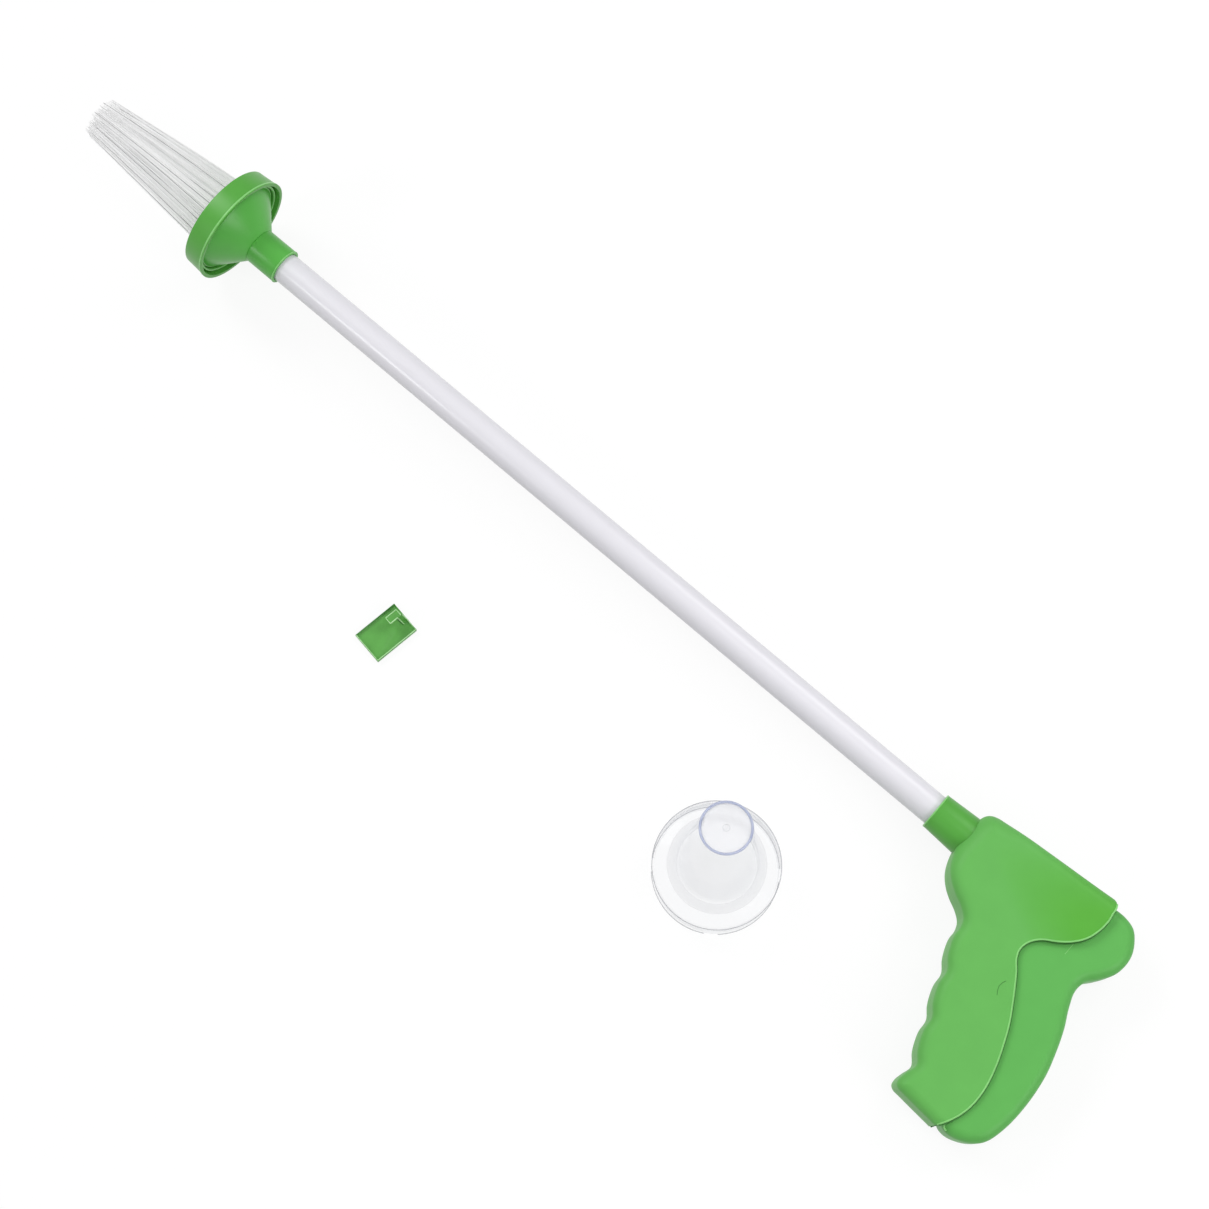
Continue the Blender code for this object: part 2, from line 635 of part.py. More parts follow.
def cross_form(low, high):
    """A cutter for a cross recess, along X."""
    long, short = RECESS_LENGTH / 2, RECESS_WIDTH / 2
    corners = [(short, long), (short, short), (long, short)]
    ring = []
    for _ in range(QUARTERS):
        ring += corners
        corners = [(y, -x) for x, y in corners]
    return stacked_form([[(x, y, z) for y, z in ring] for x in (low, high)])


def shell_screw(number, place, finish, parent):
    """A screw that goes in from the right side, with its head sunk in its seat."""
    under = -SCREW_SEAT_HEIGHT - RUNNING_GAP
    face = under - SCREW_HEAD_HEIGHT
    bm = turned_form((
        (face, 0), (face, SCREW_HEAD_RADIUS), (under, SCREW_HEAD_RADIUS), (under, SCREW_RADIUS),
        (SCREW_END_HEIGHT - SCREW_RADIUS, SCREW_RADIUS), (SCREW_END_HEIGHT, 0),
    ), SMALL_SIDES)
    obj = linked(f"shell_screw_{number}", upright(bm, *place), finish, parent)
    recess = upright(cross_form(face - OVERRUN, face + RECESS_DEPTH), *place)
    combine(obj, "DIFFERENCE", linked(f"{obj.name}_recess", recess, parent=parent))
    return obj


def lever_outline(points_a_span, opened=0.0):
    """The lever's edge; opened moves its front forwards, for a hollow that is open there."""
    rear = [in_handle(share) for share in LEVER_REAR_SHARES]
    front = [in_handle(share) + Vector((opened, 0)) for share in LEVER_FRONT_SHARES]
    return rounded_through(rear + front, points_a_span)


def full_form(outline, half, fillet, angles):
    """A rounded body with both of its sides."""
    rings = []
    for side in (-1, 1):
        for angle in angles[::side]:
            ring = drawn_in(outline, [fillet * (1 - math.cos(angle))] * len(outline))
            height = side * (half - fillet * (1 - math.sin(angle)))
            rings.append([(p.x, p.y, height) for p in ring])
    return stacked_form(rings)


def squeeze_lever(finish, parent):
    """A channel that is open to the front, with a hub for its pin and a bridge that pushes the carrier."""
    pivot = in_handle(PIVOT_SHARES)
    origin = Vector((*pivot, 0))
    name = "squeeze_lever"
    outer = full_form(lever_outline(OUTLINE_POINTS_A_SPAN), LEVER_HALF, LEVER_FILLET, FILLET_ANGLES)
    obj = linked(name, outer, finish, parent, origin)

    def helper(label, bm):
        return linked(f"{name}_{label}", bm, parent=parent)

    opened = lever_outline(1, SHELL_HALF * 2)
    inside = drawn_in(opened, [LEVER_WALL] * len(opened))
    hollow = full_form(inside, LEVER_HALF - LEVER_WALL, LEVER_FILLET - LEVER_WALL, HOLLOW_ANGLES)
    hub_radius = PIN_RADIUS + SOCKET_GAP + PIVOT_BOSS_WALL + PIVOT_POCKET_GAP + LEVER_HUB_WALL
    inner = LEVER_HALF - LEVER_WALL / 2
    hub = upright(rod_form(-LEVER_HUB_HALF, LEVER_HUB_HALF, hub_radius, SMALL_SIDES * 2), *pivot)
    front = CARRIER_REAR - PUSHER_GAP
    bridge_front = in_handle(LEVER_FRONT_SHARES[2]).x
    bridge = box_form(
        (bridge_front - BRIDGE_THICKNESS, -BRIDGE_HALF_DEPTH, -inner),
        (bridge_front, BRIDGE_HALF_DEPTH / 2, inner),
    )
    pusher = box_form(
        (bridge_front - BRIDGE_THICKNESS / 2, -PUSHER_HALF_DEPTH, -PUSHER_HALF_WIDTH),
        (front, PUSHER_HALF_DEPTH, PUSHER_HALF_WIDTH),
    )
    combine(obj, "DIFFERENCE", helper("hollow", hollow))
    combine(obj, "UNION", helper("hub", hub), helper("bridge", bridge), helper("pusher", pusher))
    pocket_radius = hub_radius - LEVER_HUB_WALL
    for label, side in (("left", 1), ("right", -1)):
        pocket = rod_form(LEVER_POCKET_HEIGHT * side, SHELL_HALF * side, pocket_radius, SMALL_SIDES)
        combine(obj, "DIFFERENCE", helper(f"pocket_{label}", upright(pocket, *pivot)))
    bore = rod_form(-SHELL_HALF, SHELL_HALF, PIN_RADIUS + SOCKET_GAP, SMALL_SIDES)
    combine(obj, "DIFFERENCE", helper("bore", upright(bore, *pivot)))
    return obj


def pivot_pin(finish, parent):
    end = SHELL_HALF - PIN_SKIN - RUNNING_GAP
    bm = upright(rod_form(-end, end, PIN_RADIUS, SMALL_SIDES), *in_handle(PIVOT_SHARES))
    return linked("lever_pivot_pin", bm, finish, parent)


def bush(name, tube_end, facing, finish, parent):
    """A flanged bush in an end of the tube, which guides the rod."""
    near = tube_end + facing * RUNNING_GAP
    profile = (
        (near + facing * BUSH_FLANGE, ROD_RADIUS + RUNNING_GAP),
        (near + facing * BUSH_FLANGE, TUBE_RADIUS),
        (near, TUBE_RADIUS),
        (near, TUBE_RADIUS - TUBE_WALL - SOCKET_GAP),
        (near - facing * BUSH_LENGTH, TUBE_RADIUS - TUBE_WALL - SOCKET_GAP),
        (near - facing * BUSH_LENGTH, ROD_RADIUS + RUNNING_GAP),
    )
    return linked(name, turned_form(profile, SMALL_SIDES * 2), finish, parent)


def tube(finish, parent):
    inner = TUBE_RADIUS - TUBE_WALL
    profile = (
        (TUBE_REAR, inner), (TUBE_FRONT, inner), (TUBE_FRONT, TUBE_RADIUS), (TUBE_REAR, TUBE_RADIUS),
    )
    return linked("tube", turned_form(profile), finish, parent)


def rod_carrier(finish, parent):
    """The slide on the rod's rear end, with a domed nose for the lever and a bore for the rod."""
    bore = ROD_RADIUS + SOCKET_GAP
    floor = ROD_REAR - RUNNING_GAP
    profile = (
        (CARRIER_REAR, 0),
        (CARRIER_REAR + CARRIER_DOME * CARRIER_NOSE_SHARES[0], CARRIER_RADIUS * CARRIER_NOSE_SHARES[1]),
        (CARRIER_REAR + CARRIER_DOME, CARRIER_RADIUS),
        (CARRIER_FRONT, CARRIER_RADIUS),
        (CARRIER_FRONT, bore),
        (floor, bore),
        (floor, 0),
    )
    return linked("rod_carrier", turned_form(profile, SMALL_SIDES * 2), finish, parent)


def return_spring(finish, parent):
    """A coil round the rod between the collar's base and the carrier. It prints its turns' least gap."""
    start = COLLAR_REAR - RUNNING_GAP - SPRING_WIRE
    end = CARRIER_FRONT + RUNNING_GAP + SPRING_WIRE
    count = SPRING_TURNS * SPRING_POINTS_A_TURN
    points = []
    for i in range(count + 1):
        turn = math.tau * i / SPRING_POINTS_A_TURN
        points.append((
            start + (end - start) * i / count, SPRING_RADIUS * math.cos(turn), SPRING_RADIUS * math.sin(turn),
        ))
    gap = abs(end - start) / SPRING_TURNS - 2 * SPRING_WIRE
    print(f"return_spring: least gap between turns {gap / MM:.2f} mm")
    curve = bpy.data.curves.new("return_spring", "CURVE")
    curve.dimensions = "3D"
    curve.bevel_depth = SPRING_WIRE
    curve.bevel_resolution = 0
    curve.use_fill_caps = True
    spline = curve.splines.new("POLY")
    spline.points.add(len(points) - 1)
    for knot, point in zip(spline.points, points):
        knot.co = (*point, 1)
    curve.materials.append(finish)
    obj = bpy.data.objects.new("return_spring", curve)
    bpy.context.scene.collection.objects.link(obj)
    obj.parent = parent
    return obj


def push_rod(finish, parent):
    return linked("push_rod", rod_form(ROD_REAR, ROD_FRONT, ROD_RADIUS, SMALL_SIDES), finish, parent)


def hub_plate(finish, parent):
    """The plate that pushes the segments' inner ends, with a sleeve behind it for the rod."""
    bore = ROD_RADIUS + SOCKET_GAP
    sleeve = bore + HUB_SLEEVE_WALL
    profile = (
        (HUB_FRONT, HUB_SCREW_RADIUS + SOCKET_GAP),
        (HUB_REAR, HUB_SCREW_RADIUS + SOCKET_GAP),
        (HUB_REAR, bore),
        (HUB_REAR - HUB_SLEEVE_LENGTH, bore),
        (HUB_REAR - HUB_SLEEVE_LENGTH, sleeve),
        (HUB_REAR, sleeve),
        (HUB_REAR, HUB_RADIUS),
        (HUB_FRONT, HUB_RADIUS),
    )
    return linked("hub_plate", turned_form(profile, SMALL_SIDES), finish, parent)


def hub_disc(finish, parent):
    """The disc that draws the segments shut again, on a stem that stands on the hub plate."""
    hole = HUB_SCREW_RADIUS + SOCKET_GAP
    stem_end = HUB_FRONT + RUNNING_GAP
    profile = (
        (stem_end, hole),
        (stem_end, DISC_STEM_RADIUS),
        (DISC_REAR, DISC_STEM_RADIUS),
        (DISC_REAR, DISC_RADIUS),
        (DISC_REAR + DISC_THICKNESS / 2, DISC_RADIUS),
        (DISC_FRONT, DISC_RADIUS * DISC_FACE_SHARE),
        (DISC_FRONT, hole),
    )
    return linked("hub_disc", turned_form(profile, SMALL_SIDES), finish, parent)


def hub_screw(finish, parent):
    """The screw through the disc into the hub plate."""
    under = DISC_FRONT + RUNNING_GAP
    face = under + HUB_SCREW_HEAD_HEIGHT
    end = under - (DISC_FRONT - HUB_REAR) - RUNNING_GAP
    bm = turned_form((
        (end, 0), (end, HUB_SCREW_RADIUS), (under, HUB_SCREW_RADIUS), (under, HUB_SCREW_HEAD_RADIUS),
        (face - HUB_SCREW_HEAD_HEIGHT / 2, HUB_SCREW_HEAD_RADIUS),
        (face, HUB_SCREW_HEAD_RADIUS * HUB_SCREW_FACE_SHARE), (face, 0),
    ), SMALL_SIDES)
    obj = linked("hub_screw", bm, finish, parent)
    recess = cross_form(face - RECESS_DEPTH, face + OVERRUN)
    combine(obj, "DIFFERENCE", linked("hub_screw_recess", recess, parent=parent))
    return obj


def head_funnel(finish, parent):
    """The sleeve on the tube and the cone in front of it, whose rim backs the segments' hinges."""
    profile = (
        (TUBE_SHOWN_LENGTH, SOCKET_RADIUS),
        (TUBE_SHOWN_LENGTH, SOCKET_RADIUS + SLEEVE_WALL),
        (SLEEVE_FRONT, SOCKET_RADIUS + NECK_WALL),
        (CONE_FRONT, RIM_RADIUS),
        (FUNNEL_FRONT, RIM_RADIUS),
        (FUNNEL_FRONT, RIM_RADIUS - FUNNEL_LIP),
        (CONE_FRONT, RIM_RADIUS - FUNNEL_LIP),
        (FRONT_SHOULDER + RING_WALL * 2, NECK_BORE),
        (FRONT_SHOULDER, NECK_BORE),
        (FRONT_SHOULDER, SOCKET_RADIUS),
    )
    return linked("head_funnel", turned_form(profile), finish, parent)


def head_ring(finish, parent):
    """The outer ring, with a seat round the funnel's rim and a flange that holds the hinges. The flange's
    window has a flat edge along each hinge, so that the segments clear it as they open."""
    inner_face = RING_FRONT - RING_FLANGE
    uncut = HINGE_RADIUS - RING_FLANGE
    seat_outer = SEAT_RADIUS + RING_SEAT_WALL
    slope = RING_FLARE / RING_LENGTH
    inner_front = seat_outer + RING_CHANNEL
    inner_rear = inner_front + slope * (inner_face - RING_REAR)
    profile = (
        (RING_FRONT, uncut),
        (RING_FRONT, RING_FRONT_RADIUS - RING_EDGE),
        (RING_FRONT - RING_EDGE, RING_FRONT_RADIUS),
        (RING_REAR + RING_EDGE, RING_REAR_RADIUS),
        (RING_REAR, RING_REAR_RADIUS - RING_EDGE),
        (RING_REAR, inner_rear + RING_EDGE / 2),
        (RING_REAR + RING_EDGE / 2, inner_rear),
        (inner_face, inner_front),
        (inner_face, seat_outer),
        (inner_face - RING_SEAT_LENGTH, seat_outer),
        (inner_face - RING_SEAT_LENGTH, SEAT_RADIUS),
        (inner_face, SEAT_RADIUS),
        (inner_face, uncut),
    )
    obj = linked("head_ring", turned_form(profile), finish, parent)
    corner = (HINGE_RADIUS + RING_WINDOW_GAP) / math.cos(SECTOR / 2)
    window = rod_form(inner_face - OVERRUN, RING_FRONT + OVERRUN, corner, SEGMENTS)
    bmesh.ops.rotate(window, verts=window.verts, cent=Vector(), matrix=Matrix.Rotation(SECTOR / 2, 3, "X"))
    combine(obj, "DIFFERENCE", linked("head_ring_window", window, parent=parent))
    return obj


def segment_half_width(radius):
    return radius * SECTOR_SLOPE - SEGMENT_SIDE


def share_between(pair, share):
    return pair[0] + (pair[1] - pair[0]) * share


def segment_arm_form():
    """The plate that holds a bristle slice, about its hinge: X along the catcher, Y outwards from its
    axis, Z along the hinge. The hub plate and the disc move its narrow inner end."""
    rings = []
    for radius in (SEGMENT_INNER_RADIUS, HINGE_RADIUS - SEGMENT_NECK):
        half = segment_half_width(radius)
        rings.append([
            (x, radius - HINGE_RADIUS, side * half)
            for x, side in ((-SEGMENT_REAR, -1), (ARM_FRONT, -1), (ARM_FRONT, 1), (-SEGMENT_REAR, 1))
        ])
    return stacked_form(rings)


def bristle_segment_form(chance):
    """A slice of backing with its strands, in the same frame as its arm. Each strand rises from its own
    cell of the front and leans in, so that no two of them cross."""
    rows = [share_between(BRISTLE_ROOT_RADII, k / BRISTLE_ROWS) for k in range(BRISTLE_ROWS + 1)]
    radii = [rows[0] - SLICE_MARGIN, *rows, rows[-1] + SLICE_MARGIN]
    bm = bmesh.new()
    grid = [
        [
            bm.verts.new((
                SEGMENT_FRONT,
                radius - HINGE_RADIUS,
                segment_half_width(radius) * (2 * k / BRISTLE_COLUMNS - 1),
            ))
            for k in range(BRISTLE_COLUMNS + 1)
        ]
        for radius in radii
    ]
    cells = {}
    for i in range(len(radii) - 1):
        for k in range(BRISTLE_COLUMNS):
            corners = (grid[i][k], grid[i][k + 1], grid[i + 1][k + 1], grid[i + 1][k])
            cells[i, k] = bm.faces.new(corners)
    front = list(bm.faces)
    back = bmesh.ops.extrude_face_region(bm, geom=front, use_keep_orig=True)["geom"]
    back_faces = [g for g in back if isinstance(g, bmesh.types.BMFace)]
    back_verts = [g for g in back if isinstance(g, bmesh.types.BMVert)]
    bmesh.ops.translate(bm, verts=back_verts, vec=(SLICE_REAR - SEGMENT_FRONT, 0, 0))
    bmesh.ops.dissolve_faces(bm, faces=back_faces, use_verts=True)
    margins = [[cells[i, k] for k in range(BRISTLE_COLUMNS)] for i in (0, len(radii) - 2)]
    rooted = [(i, k) for i in range(1, len(radii) - 2) for k in range(BRISTLE_COLUMNS)]
    bmesh.ops.recalc_face_normals(bm, faces=bm.faces)
    bmesh.ops.inset_individual(bm, faces=[cells[cell] for cell in rooted], thickness=STRAND_TIP_WIDTH / 2)
    for i, k in rooted:
        row_share = (i - 0.5) / BRISTLE_ROWS
        column_share = (2 * k + 1) / BRISTLE_COLUMNS - 1
        radius = share_between(BRISTLE_ROOT_RADII, row_share)
        tip_radius = share_between(BRISTLE_TIP_RADII, row_share)
        across = segment_half_width(radius) * column_share
        reach = RING_FRONT + BRISTLE_REACH - HINGE_X - BRISTLE_RAGGED * chance.random()
        root = Vector((SEGMENT_FRONT, radius - HINGE_RADIUS, across))
        tip = Vector((reach, tip_radius - HINGE_RADIUS, across * tip_radius / radius))
        face = cells[i, k]
        square_up(face, root, STRAND_ROOT_WIDTH)
        end = bmesh.ops.extrude_discrete_faces(bm, faces=[face])["faces"][0]
        square_up(end, tip, STRAND_TIP_WIDTH)
    for margin in margins:
        bmesh.ops.dissolve_faces(bm, faces=[face for face in margin if face.is_valid])
    return bm


def square_up(face, middle, width):
    """Sets a four-sided face to a square of a width about a point, corner for corner."""
    centre = face.calc_center_median()
    for vert in face.verts:
        off = vert.co - centre
        vert.co = middle + Vector((0, math.copysign(width / 2, off.y), math.copysign(width / 2, off.z)))


def segments(arm_finish, finish, parent):
    """The eight arms with their trunnions, and the bristles that each carries."""
    chance = random.Random(BRISTLE_SEED)
    for number in range(1, SEGMENTS + 1):
        turn = SECTOR * (number - 1)
        arm = linked(f"segment_arm_{number}", segment_arm_form(), arm_finish, parent)
        trunnion = upright(rod_form(-TRUNNION_HALF, TRUNNION_HALF, TRUNNION_RADIUS, SMALL_SIDES))
        combine(arm, "UNION", linked(f"trunnion_{number}", trunnion, parent=arm))
        bristles = linked(f"bristle_segment_{number}", bristle_segment_form(chance), finish, parent)
        for obj in (arm, bristles):
            obj.location = (HINGE_X, HINGE_RADIUS * math.cos(turn), HINGE_RADIUS * math.sin(turn))
            obj.rotation_euler.x = turn


def clear_cap(finish):
    """The cap stands on its open end; its origin is on the table."""
    step = CAP_SKIRT_HEIGHT + CAP_SHOULDER
    waist = step + CAP_BLEND
    middle = share_between((step, waist), CAP_BLEND_SHARES[0])
    middle_radius = share_between((CAP_STEP_RADIUS, CAP_WAIST_RADIUS), CAP_BLEND_SHARES[1])
    outer = (
        (0, CAP_RADIUS),
        (CAP_SKIRT_HEIGHT - CAP_EDGE, CAP_RADIUS),
        (CAP_SKIRT_HEIGHT, CAP_RADIUS - CAP_EDGE),
        (step, CAP_STEP_RADIUS),
        (middle, middle_radius),
        (waist, CAP_WAIST_RADIUS),
        (CAP_HEIGHT - CAP_EDGE, CAP_TOP_RADIUS),
        (CAP_HEIGHT, CAP_TOP_RADIUS - CAP_EDGE),
        (CAP_HEIGHT, 0),
    )
    inner = (
        (CAP_HEIGHT - CAP_TOP, 0),
        (CAP_HEIGHT - CAP_TOP, CAP_TOP_RADIUS - CAP_WALL),
        (waist, CAP_WAIST_RADIUS - CAP_WALL),
        (middle - CAP_WALL, middle_radius - CAP_WALL / 2),
        (step - CAP_WALL, CAP_STEP_RADIUS - CAP_WALL / 2),
        (CAP_SKIRT_HEIGHT - CAP_WALL, CAP_INNER_RADIUS),
        (0, CAP_INNER_RADIUS),
    )
    obj = linked("clear_cap", upright(turned_form((*inner, *outer))), finish)
    for number in range(1, CAP_NOTCHES + 1):
        notch = box_form(
            (CAP_INNER_RADIUS - OVERRUN, -CAP_NOTCH_WIDTH / 2, -OVERRUN),
            (CAP_RADIUS + OVERRUN, CAP_NOTCH_WIDTH / 2, CAP_NOTCH_HEIGHT),
        )
        turn = CAP_NOTCH_TURN + math.tau * number / CAP_NOTCHES
        bmesh.ops.rotate(notch, verts=notch.verts, cent=Vector(), matrix=Matrix.Rotation(turn, 3, "Z"))
        combine(obj, "DIFFERENCE", linked(f"cap_notch_{number}", notch, parent=obj))
    obj.location = (*CAP_PLACE, 0)
    return obj


def leaning_post(low_middle, low_height, high_middle, high_height, size):
    """A four-sided post that leans from one place to another."""
    rings = []
    for middle, height in ((low_middle, low_height), (high_middle, high_height)):
        rings.append([
            (middle.x + sx * size[0] / 2, middle.y + sy * size[1] / 2, height)
            for sx, sy in ((-1, -1), (1, -1), (1, 1), (-1, 1))
        ])
    return stacked_form(rings)


def wall_hook(finish):
    """A shallow tray that sticks to the wall, with a flag on a leaning post that the catcher hangs on."""
    half = Vector((HOOK_WIDTH / 2, HOOK_LENGTH / 2))
    plate = box_form((-half.x, -half.y, 0), (half.x, half.y, HOOK_PLATE + HOOK_RIM_HEIGHT))
    obj = linked("wall_hook", plate, finish)
    edge = obj.modifiers.new("edges", "BEVEL")
    edge.width = HOOK_EDGE
    edge.segments = 1
    inside = half - Vector((HOOK_RIM_WIDTH, HOOK_RIM_WIDTH))
    tray = box_form((-inside.x, -inside.y, HOOK_PLATE), (inside.x, inside.y, HOOK_PLATE + OVERRUN))
    size = Vector((HOOK_WIDTH, HOOK_LENGTH))
    flag_middle = Vector(FLAG_PLACE_SHARES) * size
    flag = box_form(
        (flag_middle.x - FLAG_WIDTH / 2, flag_middle.y - FLAG_LENGTH / 2, FLAG_HEIGHT),
        (flag_middle.x + FLAG_WIDTH / 2, flag_middle.y + FLAG_LENGTH / 2, FLAG_HEIGHT + FLAG_THICKNESS),
    )
    post = leaning_post(
        Vector(POST_PLACE_SHARES) * size, HOOK_PLATE / 2,
        Vector(POST_TOP_SHARES) * size, FLAG_HEIGHT + FLAG_THICKNESS / 2, POST_SIZE,
    )
    combine(obj, "DIFFERENCE", linked("hook_tray", tray, parent=obj))
    combine(obj, "UNION", linked("hook_post", post, parent=obj), linked("hook_flag", flag, parent=obj))
    obj.location = (*HOOK_PLACE, 0)
    obj.rotation_euler.z = HOOK_TURN
    return obj


def lying_turn():
    """How the catcher lies: on the ring's rear edge, the barrel's bulge and the grip's lower corner."""
    rear = [in_handle(share) for share in SHELL_REAR_SHARES]
    crest = max(rear, key=lambda p: bulge(p.x, p.y))
    barrel = Vector((*crest, -SHELL_HALF - bulge(*crest)))
    low = max(rear, key=lambda p: p.y - p.x - SHELL_FILLET * (p.y > HANDLE_DEPTH - SHELL_FILLET))
    grip = Vector((*low, -SHELL_HALF))
    up = Z_AXIS.copy()
    for _ in range(SETTLING_STEPS):
        off_axis = Vector((0, up.y, up.z)).normalized()
        ring = X_AXIS * (RING_REAR + RING_EDGE) - off_axis * RING_REAR_RADIUS
        up = (ring - grip).cross(barrel - grip).normalized()
        if up.z < 0:
            up.negate()
    return up.rotation_difference(Z_AXIS)


def evaluated_corners(objects):
    """The lowest and highest corners of finished objects, in the world."""
    graph = bpy.context.evaluated_depsgraph_get()
    low = Vector((math.inf,) * 3)
    high = -low
    for obj in objects:
        shape = obj.evaluated_get(graph)
        mesh = shape.to_mesh()
        for vert in mesh.vertices:
            place = obj.matrix_world @ vert.co
            low = Vector(map(min, low, place))
            high = Vector(map(max, high, place))
        shape.to_mesh_clear()
    return low, high


def build():
    clear_scene()
    finishes = {name: material(name, *values) for name, values in FINISHES.items()}
    green, lever_green, white, steel, natural, fibre, clear = finishes.values()

    catcher = bpy.data.objects.new("catcher", None)
    bpy.context.scene.collection.objects.link(catcher)
    shell("shell_left", 1, green, catcher)
    shell("shell_right", -1, green, catcher)
    for number, place in enumerate(shell_places(), 1):
        shell_screw(number, place, steel, catcher)
    squeeze_lever(lever_green, catcher)
    pivot_pin(steel, catcher)
    tube(white, catcher)
    bush("front_bush", TUBE_FRONT, 1, natural, catcher)
    bush("rear_bush", TUBE_REAR, -1, natural, catcher)
    rod_carrier(natural, catcher)
    return_spring(steel, catcher)
    push_rod(steel, catcher)
    hub_plate(green, catcher)
    hub_disc(green, catcher)
    hub_screw(steel, catcher)
    head_funnel(green, catcher)
    head_ring(green, catcher)
    segments(natural, fibre, catcher)
    cap = clear_cap(clear)
    hook = wall_hook(green)

    catcher.rotation_mode = "QUATERNION"
    catcher.rotation_quaternion = lying_turn()
    bpy.context.view_layer.update()
    solids = [obj for obj in bpy.data.objects if obj.type in ("MESH", "CURVE") and not obj.hide_render]
    lying = [obj for obj in solids if obj.parent == catcher]
    catcher.location.z -= evaluated_corners(lying)[0].z
    bpy.context.view_layer.update()
    low, high = evaluated_corners(solids)
    middle = (low + high) / 2
    for obj in (catcher, cap, hook):
        obj.location.x -= middle.x
        obj.location.y -= middle.y
    bpy.context.view_layer.update()


build()
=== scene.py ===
"""Finished look of the spider catcher, its clear cap and its wall hook, lying on a pale table."""

import json
import math
import random

import bmesh
import bpy
from mathutils import Matrix, Vector


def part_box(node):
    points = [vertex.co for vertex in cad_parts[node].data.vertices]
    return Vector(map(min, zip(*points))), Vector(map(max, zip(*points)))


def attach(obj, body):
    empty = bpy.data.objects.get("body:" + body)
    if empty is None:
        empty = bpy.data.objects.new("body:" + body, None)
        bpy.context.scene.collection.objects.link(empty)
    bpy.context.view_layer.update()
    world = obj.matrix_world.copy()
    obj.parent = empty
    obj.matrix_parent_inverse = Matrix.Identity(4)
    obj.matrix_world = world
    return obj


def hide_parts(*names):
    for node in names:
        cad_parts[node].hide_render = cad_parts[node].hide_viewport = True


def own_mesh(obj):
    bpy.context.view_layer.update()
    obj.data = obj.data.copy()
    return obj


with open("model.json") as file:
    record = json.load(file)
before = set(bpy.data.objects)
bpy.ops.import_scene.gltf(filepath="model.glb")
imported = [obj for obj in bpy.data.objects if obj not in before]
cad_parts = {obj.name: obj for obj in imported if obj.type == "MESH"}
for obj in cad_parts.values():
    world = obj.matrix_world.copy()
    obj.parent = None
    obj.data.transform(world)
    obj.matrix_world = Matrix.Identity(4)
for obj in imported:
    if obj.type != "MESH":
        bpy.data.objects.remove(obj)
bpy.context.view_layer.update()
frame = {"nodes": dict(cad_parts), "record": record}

MM = 0.001
X_AXIS = Vector((1, 0, 0))
Y_AXIS = Vector((0, 1, 0))

# Camera and light
CAMERA_FROM_CATCHER = (-0.015211, 0.243978)
CAMERA_HEIGHT = 1.140015
CAMERA_TURN = (14.709, 0.341, -139.198)
CAMERA_LENS = 72.16
SENSOR = 36
CAMERA_SEES = 10

SKY_LOW = 0.42
SKY_HIGH = 0.37
FLOOR_SHADE = 0.12
FLOOR_BOUNCE = 0.35
FLOOR_LIFT = 0.89
TABLE_HALF = 6
LAMPS = (
    ("ceiling_window", (-0.27, 0.02, 1.6), (-0.27, 0.02, 0), 0.45, 1.2),
    ("key_window", (5, -0.5, 4.2), (0, 0, 0), 2.5, 150),
    ("side_window", (-1.5, 0, 1.0), (-0.1, 0, 0), 0.8, 8),
    ("streak_window", (1.2, 1.8, 1.44), (0.24, -0.04, 0), 0.5, 8),
    ("back_window", (-0.35, -1.3, 1.5), (-0.25, -0.05, 0), 1.0, 8),
)

# Working values
RUNNING_GAP = 0.3 * MM
SOCKET_GAP = 0.2 * MM
SEAM = 0.2 * MM
OVERRUN = 2 * MM
WELD = 0.002 * MM
SOFTENED_ANGLE = math.radians(30)
ROUND_SIDES = 96
HOLE_SIDES = 24
RIM_SIDES = 12
BEAD_SIDES = 10
INWARD_STEP = 0.25 * MM
MEETING_DISTANCE = 0.2 * MM
LEAST_COSINE = 0.5
POINTS_A_SPAN = 6
HOLLOW_POINTS_A_SPAN = 2

# Tube and head, along the catcher's axis from the collar's mouth
TUBE_RADIUS = 7.75 * MM
TUBE_WALL = 1.2 * MM
TUBE_REAR = -16 * MM
TUBE_SHOWN_LENGTH = 412 * MM
TUBE_FRONT = 426 * MM
SOCKET_RADIUS = TUBE_RADIUS + SOCKET_GAP
REAR_SHOULDER = -17.8 * MM
FRONT_SHOULDER = 427.8 * MM
SLEEVE_FRONT = 429.5 * MM
CONE_FRONT = 445 * MM
FUNNEL_FRONT = 447.6 * MM
HINGE_X = 449.05 * MM
HINGE_RADIUS = 20.5 * MM
TRUNNION_RADIUS = 1.1 * MM
SEGMENTS = 8
SECTOR = math.tau / SEGMENTS
SECTOR_SLOPE = math.tan(SECTOR / 2)
SEGMENT_SIDE = 0.35 * MM / math.cos(SECTOR / 2)
TRUNNION_HALF = (HINGE_RADIUS - TRUNNION_RADIUS) * SECTOR_SLOPE - SEGMENT_SIDE - RUNNING_GAP
RIM_RADIUS = math.hypot(HINGE_RADIUS + TRUNNION_RADIUS, TRUNNION_HALF) + 0.65 * MM
SEAT_RADIUS = RIM_RADIUS + RUNNING_GAP
RING_FRONT = 452.4 * MM
RING_REAR = 441.2 * MM
RING_WALL = 1.6 * MM
RING_FRONT_RADIUS = SEAT_RADIUS + 4.2 * MM
RING_REAR_RADIUS = RING_FRONT_RADIUS + 1.1 * MM
RING_WINDOW_GAP = 0.1 * MM
RING_FLANGE = 1.9 * MM
RING_ROLL = 0.35 * MM
RING_EDGE = 0.3 * MM
BAND_INNER_RADIUS = SEAT_RADIUS + 2.6 * MM
SEAT_DEPTH = 5 * MM
ARM_SPAN = (-1 * MM, -0.1 * MM)
